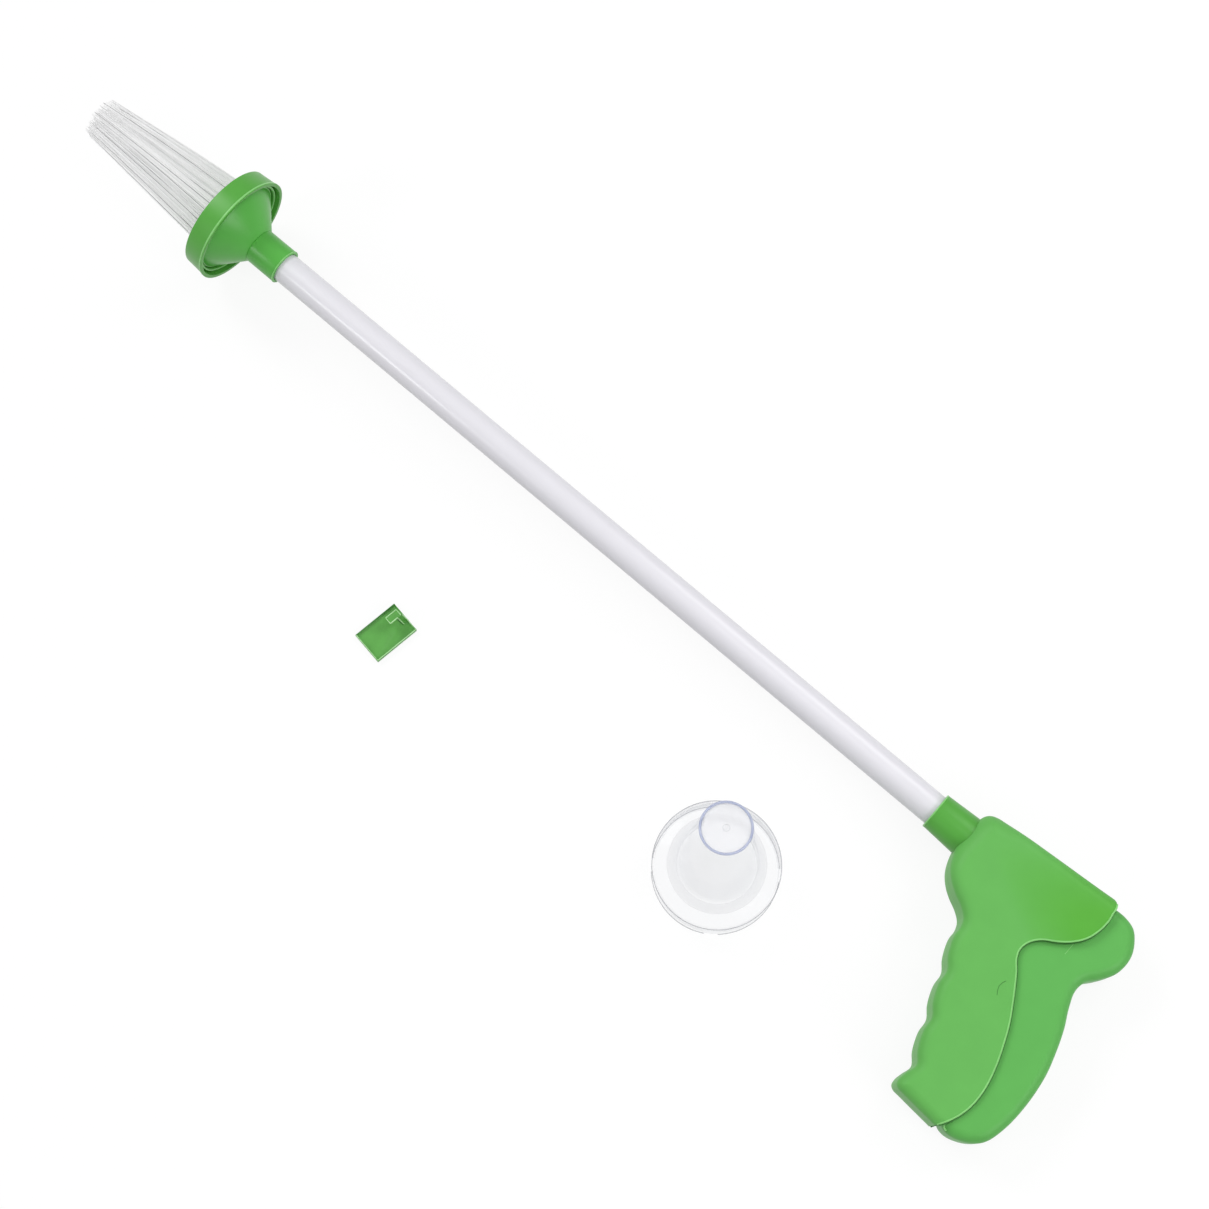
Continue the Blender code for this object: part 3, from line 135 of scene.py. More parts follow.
ARM_RADII = (3 * MM, HINGE_RADIUS - 0.7 * MM)
SLICE_SPAN = (0.2 * MM, 0.9 * MM)
SLICE_RADII = (11.1 * MM, 18.6 * MM)
WEDGE_EDGE = 0.15 * MM
NECK_CREASE = 0.4 * MM
SLEEVE_WALL = 1.3 * MM
RING_BEAD = 0.8 * MM
FUNNEL_BEAD = 0.35 * MM
FUNNEL_FLANGE = 0.9 * MM
FLANGE_SPAN = (CONE_FRONT - 0.4 * MM, CONE_FRONT + 0.2 * MM)
FUNNEL_WALL = 4.7 * MM
ROD_OPENING = 6.2 * MM
HEAD_EDGE = 0.15 * MM
STEP_REAR = 443.4 * MM
STEP_RADII = (25.1 * MM, 26.2 * MM)
MOUTH_BEAD = 0.4 * MM

# Handle
HANDLE_LENGTH = 115.7 * MM
HANDLE_DEPTH = 113 * MM
SHELL_HALF = 15 * MM
SHELL_WALL = 1.8 * MM
SHELL_FILLET = 5.5 * MM
BARREL_FILLET = 11 * MM
BARREL_END_SHARE = 0.22
FILLET_ANGLES = [math.radians(angle) for angle in range(0, 91, 9)]
HOLLOW_ANGLES = [math.radians(angle) for angle in (0, 45, 90)]
LIP_BEAD = 0.55 * MM
LIP_TOP_END = 9
LIP_LOW_END = 4
LIP_FOOT_TOP_END = 18
LIP_SUNK_SHARES = {"left": 0.8, "right": 1.0}
# A dark bead just off the lip's foot is painted shadow: its radius, its offset from the lip and its height
# over the lever
LIP_SHADOW_RADIUS = 0.35 * MM
LIP_SHADOW_OFF = 0.8 * MM
LIP_SHADOW_HEIGHT = 0.5 * MM
COLLAR_TO_GRIP_SHARES = (
    (0.152, 0), (0.158, 0.075), (0.17, 0.118), (0.194, 0.165), (0.231, 0.204),
    (0.272, 0.232), (0.318, 0.256), (0.353, 0.285), (0.368, 0.32),
)
FIRST_KNUCKLE_SHARES = (0.371, 0.367)
FINGER_PITCH_SHARES = (0.07, 0.186)
FINGER_WAVE_SHARES = ((0, 0), (0.42, 0.41), (0.91, 0.68))
FINGERS = 3
GRIP_END_SHARES = (
    (0.5635, 0.913), (0.5566, 0.95), (0.561, 0.9735), (0.579, 0.986), (0.609, 0.989), (0.767, 1.001),
)
BEHIND_SHELL_SHARES = (
    (0.968, 1.013), (1.106, 0.956), (1.12, 0.5), (1.106, -0.088), (0.968, -0.199),
)
BARREL_TOP_SHARES = (
    (0.7606, -0.174), (0.444, -0.151), (0.259, -0.137), (0.2126, -0.1334), (0.187, -0.1247),
    (0.169, -0.108), (0.159, -0.08),
)
SHELL_REAR_SHARES = (
    (0.7, -0.23), (0.725, -0.19), (0.757, -0.1735), (0.7755, -0.163), (0.785, -0.145), (0.788, -0.115),
    (0.7925, -0.079), (0.787, -0.021), (0.768, 0.035), (0.732, 0.083), (0.686, 0.121),
    (0.645, 0.147), (0.617, 0.176), (0.6, 0.21), (0.597, 0.246), (0.61, 0.281), (0.64, 0.32),
    (0.672, 0.37), (0.712, 0.438), (0.745, 0.499), (0.773, 0.565), (0.801, 0.642), (0.821, 0.715),
    (0.8315, 0.782), (0.8315, 0.846), (0.819, 0.908), (0.798, 0.958), (0.776, 1.0), (0.77, 1.06),
)
LEVER_REAR_SHARES = (
    (0.852, 0.993), (0.923, 0.963), (0.966, 0.918), (0.992, 0.828), (1, 0.696), (0.988, 0.562),
    (0.962, 0.459), (0.929, 0.363), (0.894, 0.288), (0.871, 0.217), (0.879, 0.165), (0.911, 0.123),
    (0.949, 0.062), (0.96, 0.004), (0.954, -0.047), (0.93, -0.096), (0.895, -0.134),
    (0.847, -0.1495), (0.791, -0.1495),
)
LEVER_FRONT_SHARES = (
    (0.743, -0.138), (0.7226, -0.106), (0.6915, -0.0265), (0.657, 0.053), (0.605, 0.108),
    (0.553, 0.155), (0.5307, 0.221), (0.534, 0.301), (0.56, 0.389), (0.605, 0.487), (0.644, 0.593),
    (0.67, 0.708), (0.683, 0.814), (0.679, 0.88), (0.7, 0.922), (0.743, 0.949),
    (0.775, 0.96), (0.792, 0.981), (0.81, 0.991),
)
BULGE_HEIGHT = 1.6 * MM
BULGE_START_SHARE = 0.277
BULGE_LENGTH_SHARE = 0.52
BULGE_HALF_WIDTH = 24.5 * MM
BULGE_FULL_WIDTH_SHARE = 0.33
BULGE_SPREAD_POWER = 0.7
BULGE_CREST_SHARE = -0.015
BULGE_GRID = 2 * MM
# How quickly the painted shade on the bulge comes to full strength
BULGE_PAINTED_SHADE_GAIN = 1.25
COLLAR_ROOT = 2.3 * MM
COLLAR_RADIUS = SOCKET_RADIUS + COLLAR_ROOT
COLLAR_CREASE = 0.35 * MM
COLLAR_ROOT_REAR = REAR_SHOULDER - 6 * MM
COLLAR_MOUTH = 1.3 * MM
COLLAR_EDGE = 0.25 * MM
LIP_EDGE = 0.35 * MM
LIP_ANGLE = math.radians(40)
LIP_NEAR = 2 * MM
LIP_FACING = 0.1
SCREW_SHARES = ((0.262, -0.0955), (0.32, 0.186), (0.501, 0.513), (0.622, 0.885), (0.431, -0.1186))
SCREW_RADIUS = 1.3 * MM
SCREW_HEAD_RADIUS = 2.75 * MM
SCREW_SEAT_HEIGHT = 9.2 * MM
SCREW_END_HEIGHT = 10 * MM
SCREW_HOLE = SCREW_RADIUS + SOCKET_GAP
SCREW_SEAT = SCREW_HEAD_RADIUS + RUNNING_GAP
SHELL_BEYOND = SHELL_HALF + BULGE_HEIGHT + OVERRUN
BOSS_WALL = 1.5 * MM
LEVER_HALF = SHELL_HALF - SHELL_WALL - 0.35 * MM
LEVER_WALL = 1.8 * MM
LEVER_FILLET = 5.5 * MM
LEVER_HUB_HALF = 11.3 * MM
LEVER_HUB_RADIUS = 7.5 * MM
LEVER_POCKET_RADIUS = 6 * MM
LEVER_POCKET_HEIGHT = 9.2 * MM
BRIDGE_THICKNESS = 3.5 * MM
BRIDGE_SIDES = (-7.5 * MM, 3.75 * MM)
PUSHER_HALF = (4.5 * MM, 4 * MM)
PUSHER_GAP = 0.5 * MM
PIVOT_SHARES = (0.743, 0.893)
PIN_RADIUS = 2 * MM
PIN_HOLE = PIN_RADIUS + SOCKET_GAP
PIVOT_BOSS_WALL = 2.8 * MM
PIN_SKIN = 1.1 * MM
CARRIER_REAR = -71.04 * MM
CARRIER_RADIUS = 6.5 * MM
GUIDE_SPAN = (-59.54 * MM, -56.04 * MM)
GUIDE_SIDE_SHARES = (-0.22, 0.097)
COLLAR_REAR = -21.8 * MM
ROD_HOLE = PIN_RADIUS + RUNNING_GAP

# Return spring, between the collar and the carrier
CARRIER_FRONT = -52.04 * MM
SPRING_WIRE = 0.45 * MM
SPRING_RADIUS = 4 * MM
SPRING_TURNS = 8
SPRING_STEPS_A_TURN = 16
WIRE_SIDES = 8

# Bristles
STRANDS_A_SEGMENT = 120
STRAND_RADIUS = 0.17 * MM
STRAND_TIP_RADIUS = 0.12 * MM
STRAND_STEPS = 5
ROOT_RADII = (11.6 * MM, 18.3 * MM)
TIP_RADII = (2.8 * MM, 10.4 * MM)
TIP_X = 535.5 * MM
TIP_RAGGED = 8 * MM
TIP_DRIFT = 1.6 * MM
ROOT_X = 0.7 * MM
ROOT_SPREAD = 0.94
TIP_LEAN = 0.03
TIP_SPREAD = 0.96
STRAND_BOW = 0.5 * MM
GREY_SHARE = 0.04
SOFT_SHARE = 0.14
BRISTLE_SEED = 11
TONE_STEP = 0.618034

# Cap
CAP_RADIUS = RING_REAR_RADIUS + 1.4 * MM
CAP_WALL = 1.1 * MM
CAP_SKIRT_HEIGHT = 18 * MM
CAP_HEIGHT = 122 * MM
CAP_TOP = 1.8 * MM
CAP_TOP_RADIUS = 11.8 * MM
CAP_WAIST_RADIUS = 18.6 * MM
CAP_STEP_RADIUS = 23.4 * MM
CAP_STEP = CAP_SKIRT_HEIGHT + 2.4 * MM
CAP_STEP_LIP = (0.6 * MM, 1.2 * MM)
CAP_CORNER = 2 * MM
CAP_CORNER_ANGLES = [math.radians(angle) for angle in (30, 60, 90)]
CAP_BLEND_SHARES = (0.2, 0.4, 0.6, 0.8, 1.0)
CAP_TOP_EDGE = 0.8 * MM
GATE_RADII = (0.9 * MM, 1.4 * MM)
GATE_DEPTH = 0.5 * MM
GATE_RIM_RADIUS = 1.7 * MM
CAP_BLEND = 10 * MM
CAP_RIM = 0.6 * MM
CAP_FINE_RIM = 0.2 * MM
CAP_SKIRT_RIM_DROP = 1.2 * MM
WEB = 0.15 * MM
CAP_NOTCHES = 4
CAP_NOTCH_WIDTH = 6.5 * MM
CAP_NOTCH_HEIGHT = 3.2 * MM
CAP_NOTCH_DEPTH = 5 * MM
CAP_NOTCH_TURN = math.radians(36)

# Hook
HOOK_LENGTH = 24.3 * MM
HOOK_WIDTH = 17.2 * MM
HOOK_PLATE = 1.4 * MM
HOOK_RIM_HEIGHT = 0.9 * MM
HOOK_RIM_WIDTH = 0.8 * MM
HOOK_TOP = HOOK_PLATE + HOOK_RIM_HEIGHT
HOOK_EDGE = 0.25 * MM
HOOK_BEAD = 0.3 * MM
FLAG_LENGTH = 6.8 * MM
FLAG_WIDTH = 3.9 * MM
FLAG_THICKNESS = 1.2 * MM
FLAG_HEIGHT = 7.2 * MM
FLAG_PLACE_SHARES = (0.13, -0.292)
POST_SIZE = (1.6 * MM, 3 * MM)
POST_PLACE_SHARES = (-0.093, -0.438)
POST_TOP_SHARES = (0.087, -0.403)
HOOK_TURN = math.radians(-8.7)

# Surfaces
GLOSS_SPREAD = 0.05
GRAIN_STRENGTH = 4
CLEAR_EDGE_POWER = 3
CLEAR_SHOWN = (0.05, 0.3)
FIBRE_DIM_SHARES = (0.95, 0.95, 0.96)


# Materials

def plugged(socket, value):
    """Gives a node's input a constant or the output of another node."""
    if isinstance(value, bpy.types.NodeSocket):
        socket.id_data.links.new(value, socket)
    else:
        socket.default_value = value


def sockets(node, **values):
    for name, value in values.items():
        plugged(node.inputs[name.replace("_", " ")], value)


def shaded(name):
    """A new material, its node tree and its shader."""
    made = bpy.data.materials.new(name)
    made.use_nodes = True
    return made, made.node_tree, made.node_tree.nodes["Principled BSDF"]


def added(tree, kind, output, **values):
    """A new node with its inputs set, seen through one of its outputs."""
    node = tree.nodes.new("ShaderNode" + kind)
    sockets(node, **values)
    return node.outputs[output]


def noise(tree, scale, detail, drawn=(1, 1, 1)):
    """A noise on the object's own coordinates, which may be drawn out along an axis."""
    place = added(tree, "TexCoord", "Object")
    place = added(tree, "Mapping", "Vector", Vector=place, Scale=drawn)
    return added(tree, "TexNoise", "Fac", Vector=place, Scale=scale, Detail=detail)


def ranged(tree, value, low, high):
    return added(tree, "MapRange", "Result", Value=value, To_Min=low, To_Max=high)


def mixed(tree, share, first, second, blend="MIX"):
    node = tree.nodes.new("ShaderNodeMix")
    node.data_type = "RGBA"
    node.blend_type = blend
    sockets(node, Factor=share, A=first, B=second)
    return node.outputs["Result"]


def calculated(tree, operation, *values):
    node = tree.nodes.new("ShaderNodeMath")
    node.operation = operation
    for socket, value in zip(node.inputs, values):
        plugged(socket, value)
    return node.outputs[0]


def plastic(
    name, colour, roughness, bump=0.02, mottle=0.05, scale=90, coat=0.0, specular=0.5, bulge_painted_shade_colour=None
):
    """Moulded plastic: a faint mottle in its colour and gloss, and a fine grain in its surface. Where the
    barrel bulges it may take a second colour: painted shade for the light that the bulge's tilted sides lose."""
    made, tree, shader = shaded(name)
    clouds = noise(tree, scale=scale, detail=3)
    grain = noise(tree, scale=2600, detail=2)
    base = (*colour, 1)
    if bulge_painted_shade_colour:
        share = tree.nodes.new("ShaderNodeAttribute")
        share.attribute_name = "bulge"
        base = mixed(tree, share.outputs["Fac"], base, (*bulge_painted_shade_colour, 1))
    tint = mixed(tree, 1, base, ranged(tree, clouds, 1 - mottle, 1 + mottle), "MULTIPLY")
    gloss = ranged(tree, clouds, roughness - GLOSS_SPREAD, roughness + GLOSS_SPREAD)
    raised = added(tree, "Bump", "Normal", Height=grain, Strength=bump * GRAIN_STRENGTH, Distance=bump * MM)
    sockets(shader, Base_Color=tint, Roughness=gloss, Normal=raised)
    sockets(shader, Coat_Weight=coat, Coat_Roughness=0.15, Specular_IOR_Level=specular)
    return made


def steel(name):
    """Drawn steel, with faint lines along it."""
    made, tree, shader = shaded(name)
    lines = noise(tree, scale=1, detail=4, drawn=(20, 900, 900))
    gloss = ranged(tree, lines, 0.2, 0.42)
    sockets(shader, Base_Color=(0.58, 0.59, 0.6, 1), Metallic=1, Roughness=gloss)
    return made


def clear_plastic(name):
    """Clear thin moulded plastic: it shows more of itself where it is seen edge-on, and has slow ripples."""
    made, tree, shader = shaded(name)
    edge_on = added(tree, "LayerWeight", "Facing", Blend=0.5)
    shown = ranged(tree, calculated(tree, "POWER", edge_on, CLEAR_EDGE_POWER), *CLEAR_SHOWN)
    ripple = noise(tree, scale=60, detail=1)
    raised = added(tree, "Bump", "Normal", Height=ripple, Strength=0.12, Distance=0.3 * MM)
    sockets(shader, Base_Color=(0.6, 0.64, 0.76, 1), Roughness=0.1, Alpha=shown, Normal=raised)
    return made


def tinted_clear(name, deep, light, shown):
    """The thick rims of a clear moulding, where its tint gathers."""
    made, tree, shader = shaded(name)
    tint = mixed(tree, noise(tree, scale=200, detail=1), (*deep, 1), (*light, 1))
    sockets(shader, Base_Color=tint, Roughness=0.15, Alpha=shown)
    return made


def fibre(name, shade):
    """Nylon strand, with a change of tone from strand to strand."""
    made, tree, shader = shaded(name)
    tone = noise(tree, scale=1, detail=2, drawn=(12, 900, 900))
    dim = [shade * share for share in FIBRE_DIM_SHARES]
    tint = mixed(tree, tone, (*dim, 1), (shade, shade, shade, 1))
    sockets(shader, Base_Color=tint, Roughness=0.35)
    return made


GREEN = plastic("green_moulding", (0.102, 0.42, 0.058), 0.36, specular=0.35)
FUNNEL_GREEN = plastic("funnel_moulding", (0.107, 0.505, 0.07), 0.34)
# The handle's second colour on the barrel's bulge is painted shade
HANDLE_GREEN = plastic(
    "handle_moulding", (0.146, 0.495, 0.107), 0.45, specular=0.18, bulge_painted_shade_colour=(0.11, 0.45, 0.051)
)
LEVER_GREEN = plastic("lever_moulding", (0.127, 0.478, 0.1), 0.42, specular=0.22)
HOOK_GREEN = plastic("hook_moulding", (0.112, 0.4, 0.07), 0.4, mottle=0.2, scale=150)
# Bright green: painted highlight, the light caught along the hook's edges
PAINTED_HIGHLIGHT_GREEN = plastic("painted_highlight_bright_green", (0.48, 0.84, 0.4), 0.3)
# Dark green: painted shade for the shade lines at the lips' foot, along the tray's edge and under the stem,
# and the real colour of the scuff on the grip
SCUFF_AND_PAINTED_SHADE_GREEN = plastic("painted_shade_and_scuff_dark_green", (0.045, 0.22, 0.032), 0.5)
# Light green: painted highlight along the shells' lips and the rounded rims of the head and collar, and the
# real colour of the scratch and the tooth on the lever
SCRATCH_AND_HIGHLIGHT_GREEN = plastic("scratch_and_painted_highlight_pale_green", (0.26, 0.68, 0.2), 0.3)
WHITE = plastic("white_tube", (0.86, 0.85, 0.9), 0.3, bump=0.01, mottle=0.015, coat=0.2)
NYLON = plastic("natural_nylon", (0.78, 0.77, 0.72), 0.5)
STEEL = steel("drawn_steel")
CLEAR = clear_plastic("clear_moulding")
BLUE_RIM = tinted_clear("blue_tinted_rim", (0.42, 0.48, 0.72), (0.58, 0.63, 0.84), 0.55)
TOP_WEB = tinted_clear("top_web", (0.91, 0.91, 0.925), (0.94, 0.94, 0.95), 0.66)
STEP_WEB = tinted_clear("step_web", (0.4, 0.41, 0.45), (0.5, 0.51, 0.55), 0.08)
GREY_RIM = tinted_clear("grey_tinted_rim", (0.3, 0.31, 0.34), (0.5, 0.5, 0.54), 0.4)
PALE_FIBRE = fibre("pale_fibre", 0.97)
SOFT_FIBRE = fibre("soft_grey_fibre", 0.86)
GREY_FIBRE = fibre("grey_fibre", 0.24)

# Small marks: name, body, finish, radius, and places as shares of the handle with a height over its side
SCRATCH = 0.16 * MM
MARKS = (
    ("lever_scratch", "lever", SCRATCH_AND_HIGHLIGHT_GREEN, SCRATCH, ((0.747, 0.0642, 0), (0.7457, 0.1343, 0))),
    ("grip_scuff", "handle", SCUFF_AND_PAINTED_SHADE_GREEN, SCRATCH * 0.8, (
        (0.6341, 0.3777, 0), (0.6275, 0.393, 0), (0.6255, 0.4116, 0), (0.632, 0.429, 0), (0.6414, 0.4448, 0),
    )),
    ("lever_tooth", "lever", SCRATCH_AND_HIGHLIGHT_GREEN, 3 * SCRATCH, (
        (0.8, 0.974, -1.6 * MM), (0.808, 0.985, -2 * MM), (0.82, 0.988, -2.4 * MM),
    )),
)


# Forms

def catcher_place():
    """The catcher's own frame in the world, from its joints: it lies a little nose up."""
    joints = {joint["name"]: joint for joint in frame["record"]["behaviour"]["joints"]}
    along = Vector(joints["rod_slide"]["axis"]).normalized()
    up = Vector(joints["lever_hinge"]["axis"]).normalized()
    first, across = [Vector(joints[f"segment_{number}_hinge"]["pos_m"]) for number in (1, 1 + SEGMENTS // 2)]
    origin = (first + across) / 2 - along * HINGE_X
    return Matrix.Translation(origin) @ Matrix((along, up.cross(along), up)).transposed().to_4x4()


CATCHER = catcher_place()


def faced_out(bm):
    """Turns the faces of a closed form outwards."""
    bmesh.ops.recalc_face_normals(bm, faces=bm.faces)
    if bm.calc_volume(signed=True) < 0:
        bmesh.ops.reverse_faces(bm, faces=bm.faces)


def linked(name, data):
    """A new object in the scene."""
    made = bpy.data.objects.new(name, data)
    bpy.context.scene.collection.objects.link(made)
    return made


def mesh_of(name, bm):
    mesh = bpy.data.meshes.new(name)
    bm.to_mesh(mesh)
    bm.free()
    return mesh


def finished(name, bm, body, nodes, finish, place=CATCHER, sharp=35):
    """A form in its own frame becomes a piece that rides on a body and stands for CAD nodes."""
    bmesh.ops.remove_doubles(bm, verts=bm.verts, dist=WELD)
    faced_out(bm)
    bmesh.ops.transform(bm, matrix=place, verts=bm.verts)
    piece = linked(name, mesh_of(name, bm))
    piece.data.validate()
    piece.data.shade_smooth()
    piece.data.set_sharp_from_angle(angle=math.radians(sharp))
    piece.data.materials.append(finish)
    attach(piece, body)
    if nodes:
        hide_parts(*nodes)
    return piece


def trim(name, bm, body, finish, place=CATCHER):
    """A piece that stands for no CAD node of its own."""
    return finished(name, bm, body, [], finish, place)


def turned_form(profile, sides=ROUND_SIDES):
    """A form of revolution about X, from (x, radius) points."""
    bm = bmesh.new()
    points = [bm.verts.new((x, 0, radius)) for x, radius in profile]
    pairs = list(zip(points, points[1:]))
    if profile[0][1] or profile[-1][1]:
        pairs.append((points[-1], points[0]))
    edges = [bm.edges.new(pair) for pair in pairs]
    bmesh.ops.spin(
        bm, geom=points + edges, cent=Vector(), axis=X_AXIS, angle=math.tau, steps=sides, use_merge=True
    )
    bmesh.ops.remove_doubles(bm, verts=bm.verts, dist=WELD)
    faced_out(bm)
    return bm


def rod_form(start, end, radius, sides=HOLE_SIDES):
    return turned_form(((start, 0), (start, radius), (end, radius), (end, 0)), sides)


def sleeve_form(start, end, inner, outer):
    return turned_form(((start, inner), (end, inner), (end, outer), (start, outer)))


def swung(bm, angle, axis):
    """Turns a form about one of the axes."""
    bmesh.ops.rotate(bm, verts=bm.verts, cent=Vector(), matrix=Matrix.Rotation(angle, 3, axis))
    return bm


def upright(bm, x=0, y=0):
    """Turns a form about X into one about Z at a place."""
    swung(bm, -math.pi / 2, "Y")
    bmesh.ops.translate(bm, verts=bm.verts, vec=(x, y, 0))
    return bm


def rounded_off(bm, edges, width, segments):
    bmesh.ops.bevel(
        bm, geom=edges, offset=width, affect="EDGES", segments=segments, profile=0.5, material=-1,
        clamp_overlap=True,
    )


def softened(bm, width, segments=3):
    """Rounds the edges that are sharp."""
    sharp = [edge for edge in bm.edges if edge.is_manifold and edge.calc_face_angle() > SOFTENED_ANGLE]
    rounded_off(bm, sharp, width, segments)
    return bm


def box_form(low, high):
    bm = bmesh.new()
    bmesh.ops.create_cube(bm, size=1)
    middle = (Vector(low) + Vector(high)) / 2
    bmesh.ops.scale(bm, verts=bm.verts, vec=Vector(high) - Vector(low))
    bmesh.ops.translate(bm, verts=bm.verts, vec=middle)
    return bm


def together(*forms):
    """One form from several."""
    whole = bmesh.new()
    for form in forms:
        faced_out(form)
        part = mesh_of("part", form)
        whole.from_mesh(part)
        bpy.data.meshes.remove(part)
    return whole


def carved(bm, operation, *tools, joined=False):
    """A form after Booleans with others, worked out at once. Forms in joined tools may touch."""
    objects = []
    for form in (bm, *tools):
        if not joined:
            faced_out(form)
        objects.append(linked("carving", mesh_of("carving", form)))
    for tool in objects[1:]:
        step = objects[0].modifiers.new(operation, "BOOLEAN")
        step.operation = operation
        step.solver = "EXACT"
        step.use_self = joined
        step.object = tool
    graph = bpy.context.evaluated_depsgraph_get()
    result = bmesh.new()
    result.from_object(objects[0], graph)
    for obj in objects:
        mesh = obj.data
        bpy.data.objects.remove(obj)
        bpy.data.meshes.remove(mesh)
    return result


def in_handle(share):
    return Vector((-share[0] * HANDLE_LENGTH, share[1] * HANDLE_DEPTH))


def all_in_handle(shares):
    return [in_handle(share) for share in shares]


def rounded_through(points, count, closed=True):
    """Points on a curve through the given ones, with knots by distance so that short spans stay calm."""
    if closed:
        padded = [points[-1], *points, *points[:2]]
    else:
        padded = [2 * points[0] - points[1], *points, 2 * points[-1] - points[-2]]
    curve = []
    for four in zip(padded, padded[1:], padded[2:], padded[3:]):
        knots = [0.0]
        for a, b in zip(four, four[1:]):
            knots.append(knots[-1] + math.sqrt((b - a).length))
        for k in range(count):
            at = knots[1] + (knots[2] - knots[1]) * k / count
            one, two, three = (blend(four[i], four[i + 1], knots[i], knots[i + 1], at) for i in range(3))
            left = blend(one, two, knots[0], knots[2], at)
            right = blend(two, three, knots[1], knots[3], at)
            curve.append(blend(left, right, knots[1], knots[2], at))
    if not closed:
        curve.append(points[-1])
    return curve


def blend(a, b, start, end, at):
    return (a * (end - at) + b * (at - start)) / (end - start)


def drawn_in(outline, distances):
    """An outline, counter-clockwise, with each point moved inwards by its distance. Points that meet
    on the way go on as one."""
    steps = max(1, math.ceil(max(distances) / INWARD_STEP))
    ring = outline
    groups = [[i] for i in range(len(outline))]
    for _ in range(steps):
        moved, joined = [], []
        for i, here in enumerate(ring):
            into = (here - ring[i - 1]).normalized()
            onward = (ring[(i + 1) % len(ring)] - here).normalized()
            along = (into + onward).normalized()
            inward = Vector((-along.y, along.x))
            cosine = max(inward.dot(Vector((-into.y, into.x))), LEAST_COSINE)
            reach = sum(distances[k] for k in groups[i]) / len(groups[i])
            point = here + inward * (reach / steps / cosine)
            if moved and (point - moved[-1]).length < MEETING_DISTANCE:
                moved[-1] = (moved[-1] + point) / 2
                joined[-1] = joined[-1] + groups[i]
            else:
                moved.append(point)
                joined.append(groups[i])
        ring, groups = moved, joined
    placed = {i: point for point, group in zip(ring, groups) for i in group}
    return [placed[i] for i in range(len(outline))]


def stacked_form(rings):
    """A closed form that is pulled up from its first ring of points, level by level."""
    bm = bmesh.new()
    verts = [bm.verts.new(point) for point in rings[0]]
    edges = [bm.edges.new((verts[i - 1], vert)) for i, vert in enumerate(verts)]
    for ring in rings[1:]:
        pulled = bmesh.ops.extrude_edge_only(bm, edges=edges)["geom"]
        fresh = {part for part in pulled if isinstance(part, bmesh.types.BMVert)}
        verts = [
            next(e.other_vert(vert) for e in vert.link_edges if e.other_vert(vert) in fresh)
            for vert in verts
        ]
        for vert, point in zip(verts, ring):
            vert.co = point
        edges = [bm.edges.get((verts[i - 1], vert)) for i, vert in enumerate(verts)]
    bmesh.ops.remove_doubles(bm, verts=bm.verts, dist=WELD)
    bmesh.ops.holes_fill(bm, edges=[edge for edge in bm.edges if edge.is_boundary])
    faced_out(bm)
    return bm


def prism_form(outline, low, high):
    return stacked_form([[(p.x, p.y, z) for p in outline] for z in (low, high)])


def bulge(x, y):
    """How far the barrel's side stands out past the grip's at a place, which ends in a fold below it."""
    back = -x / HANDLE_LENGTH - BULGE_START_SHARE
    if back <= 0:
        return 0.0
    width = BULGE_HALF_WIDTH * min(1, back / BULGE_FULL_WIDTH_SHARE) ** BULGE_SPREAD_POWER
    off = (y - BULGE_CREST_SHARE * HANDLE_DEPTH) / width
    return BULGE_HEIGHT * min(1, back / BULGE_LENGTH_SHARE) * max(0, 1 - off * off)


def fillet_at(point):
    """The rounding of the shell's edge is full at the barrel's front and smaller behind it and below."""
    back = (-point.x / HANDLE_LENGTH - COLLAR_TO_GRIP_SHARES[0][0]) / BARREL_END_SHARE
    below = (point.y / HANDLE_DEPTH) / BARREL_END_SHARE
    share = min(1, max(0, back, below))
    share = share * share * (3 - 2 * share)
    return BARREL_FILLET + (SHELL_FILLET - BARREL_FILLET) * share


def shell_outline(points_a_span):
    first = Vector(FIRST_KNUCKLE_SHARES)
    pitch = Vector(FINGER_PITCH_SHARES)
    fingers = [
        first + Vector(((finger + wave[0]) * pitch.x, (finger + wave[1]) * pitch.y))
        for finger in range(FINGERS)
        for wave in FINGER_WAVE_SHARES
    ]
    shares = [*COLLAR_TO_GRIP_SHARES, *fingers, *GRIP_END_SHARES, *BEHIND_SHELL_SHARES, *BARREL_TOP_SHARES]
    return rounded_through(all_in_handle(shares), points_a_span)


def level(outline, fillets, angle, half, side=1):
    """A level of a rounded body, at an angle along the fillets of its edge."""
    ring = drawn_in(outline, [fillet * (1 - math.cos(angle)) for fillet in fillets])
    return [
        (point.x, point.y, side * (half - fillet * (1 - math.sin(angle))))
        for point, fillet in zip(ring, fillets)
    ]


def half_form(outline, side, low, half, fillets, angles, grid):
    """Half of a rounded body, from near the seam outwards, with the barrel's bulge on it."""
    rings = [[(p.x, p.y, low) for p in outline]]
    rings += [level(outline, fillets, angle, half) for angle in angles]
    bm = stacked_form(rings)
    # The flat top is cut in a grid, finer where the barrel bulges
    spans = (
        (X_AXIS, -HANDLE_LENGTH, 0, grid),
        (Y_AXIS, -HANDLE_DEPTH / 4, HANDLE_DEPTH / 3, grid),
        (Y_AXIS, HANDLE_DEPTH / 3, HANDLE_DEPTH, 2 * grid),
    )
    for normal, start, end, spacing in spans:
        for number in range(1, int((end - start) / spacing)):
            tops = [f for f in bm.faces if f.calc_center_median().z > half - WELD]
            geometry = set(tops) | {e for f in tops for e in f.edges} | {v for f in tops for v in f.verts}
            bmesh.ops.bisect_plane(
                bm, geom=list(geometry), dist=WELD, plane_no=normal,
                plane_co=normal * (start + number * spacing),
            )
    for vert in bm.verts:
        vert.co.z = side * (vert.co.z + bulge(vert.co.x, vert.co.y) * vert.co.z / half)
    faced_out(bm)
    return bm


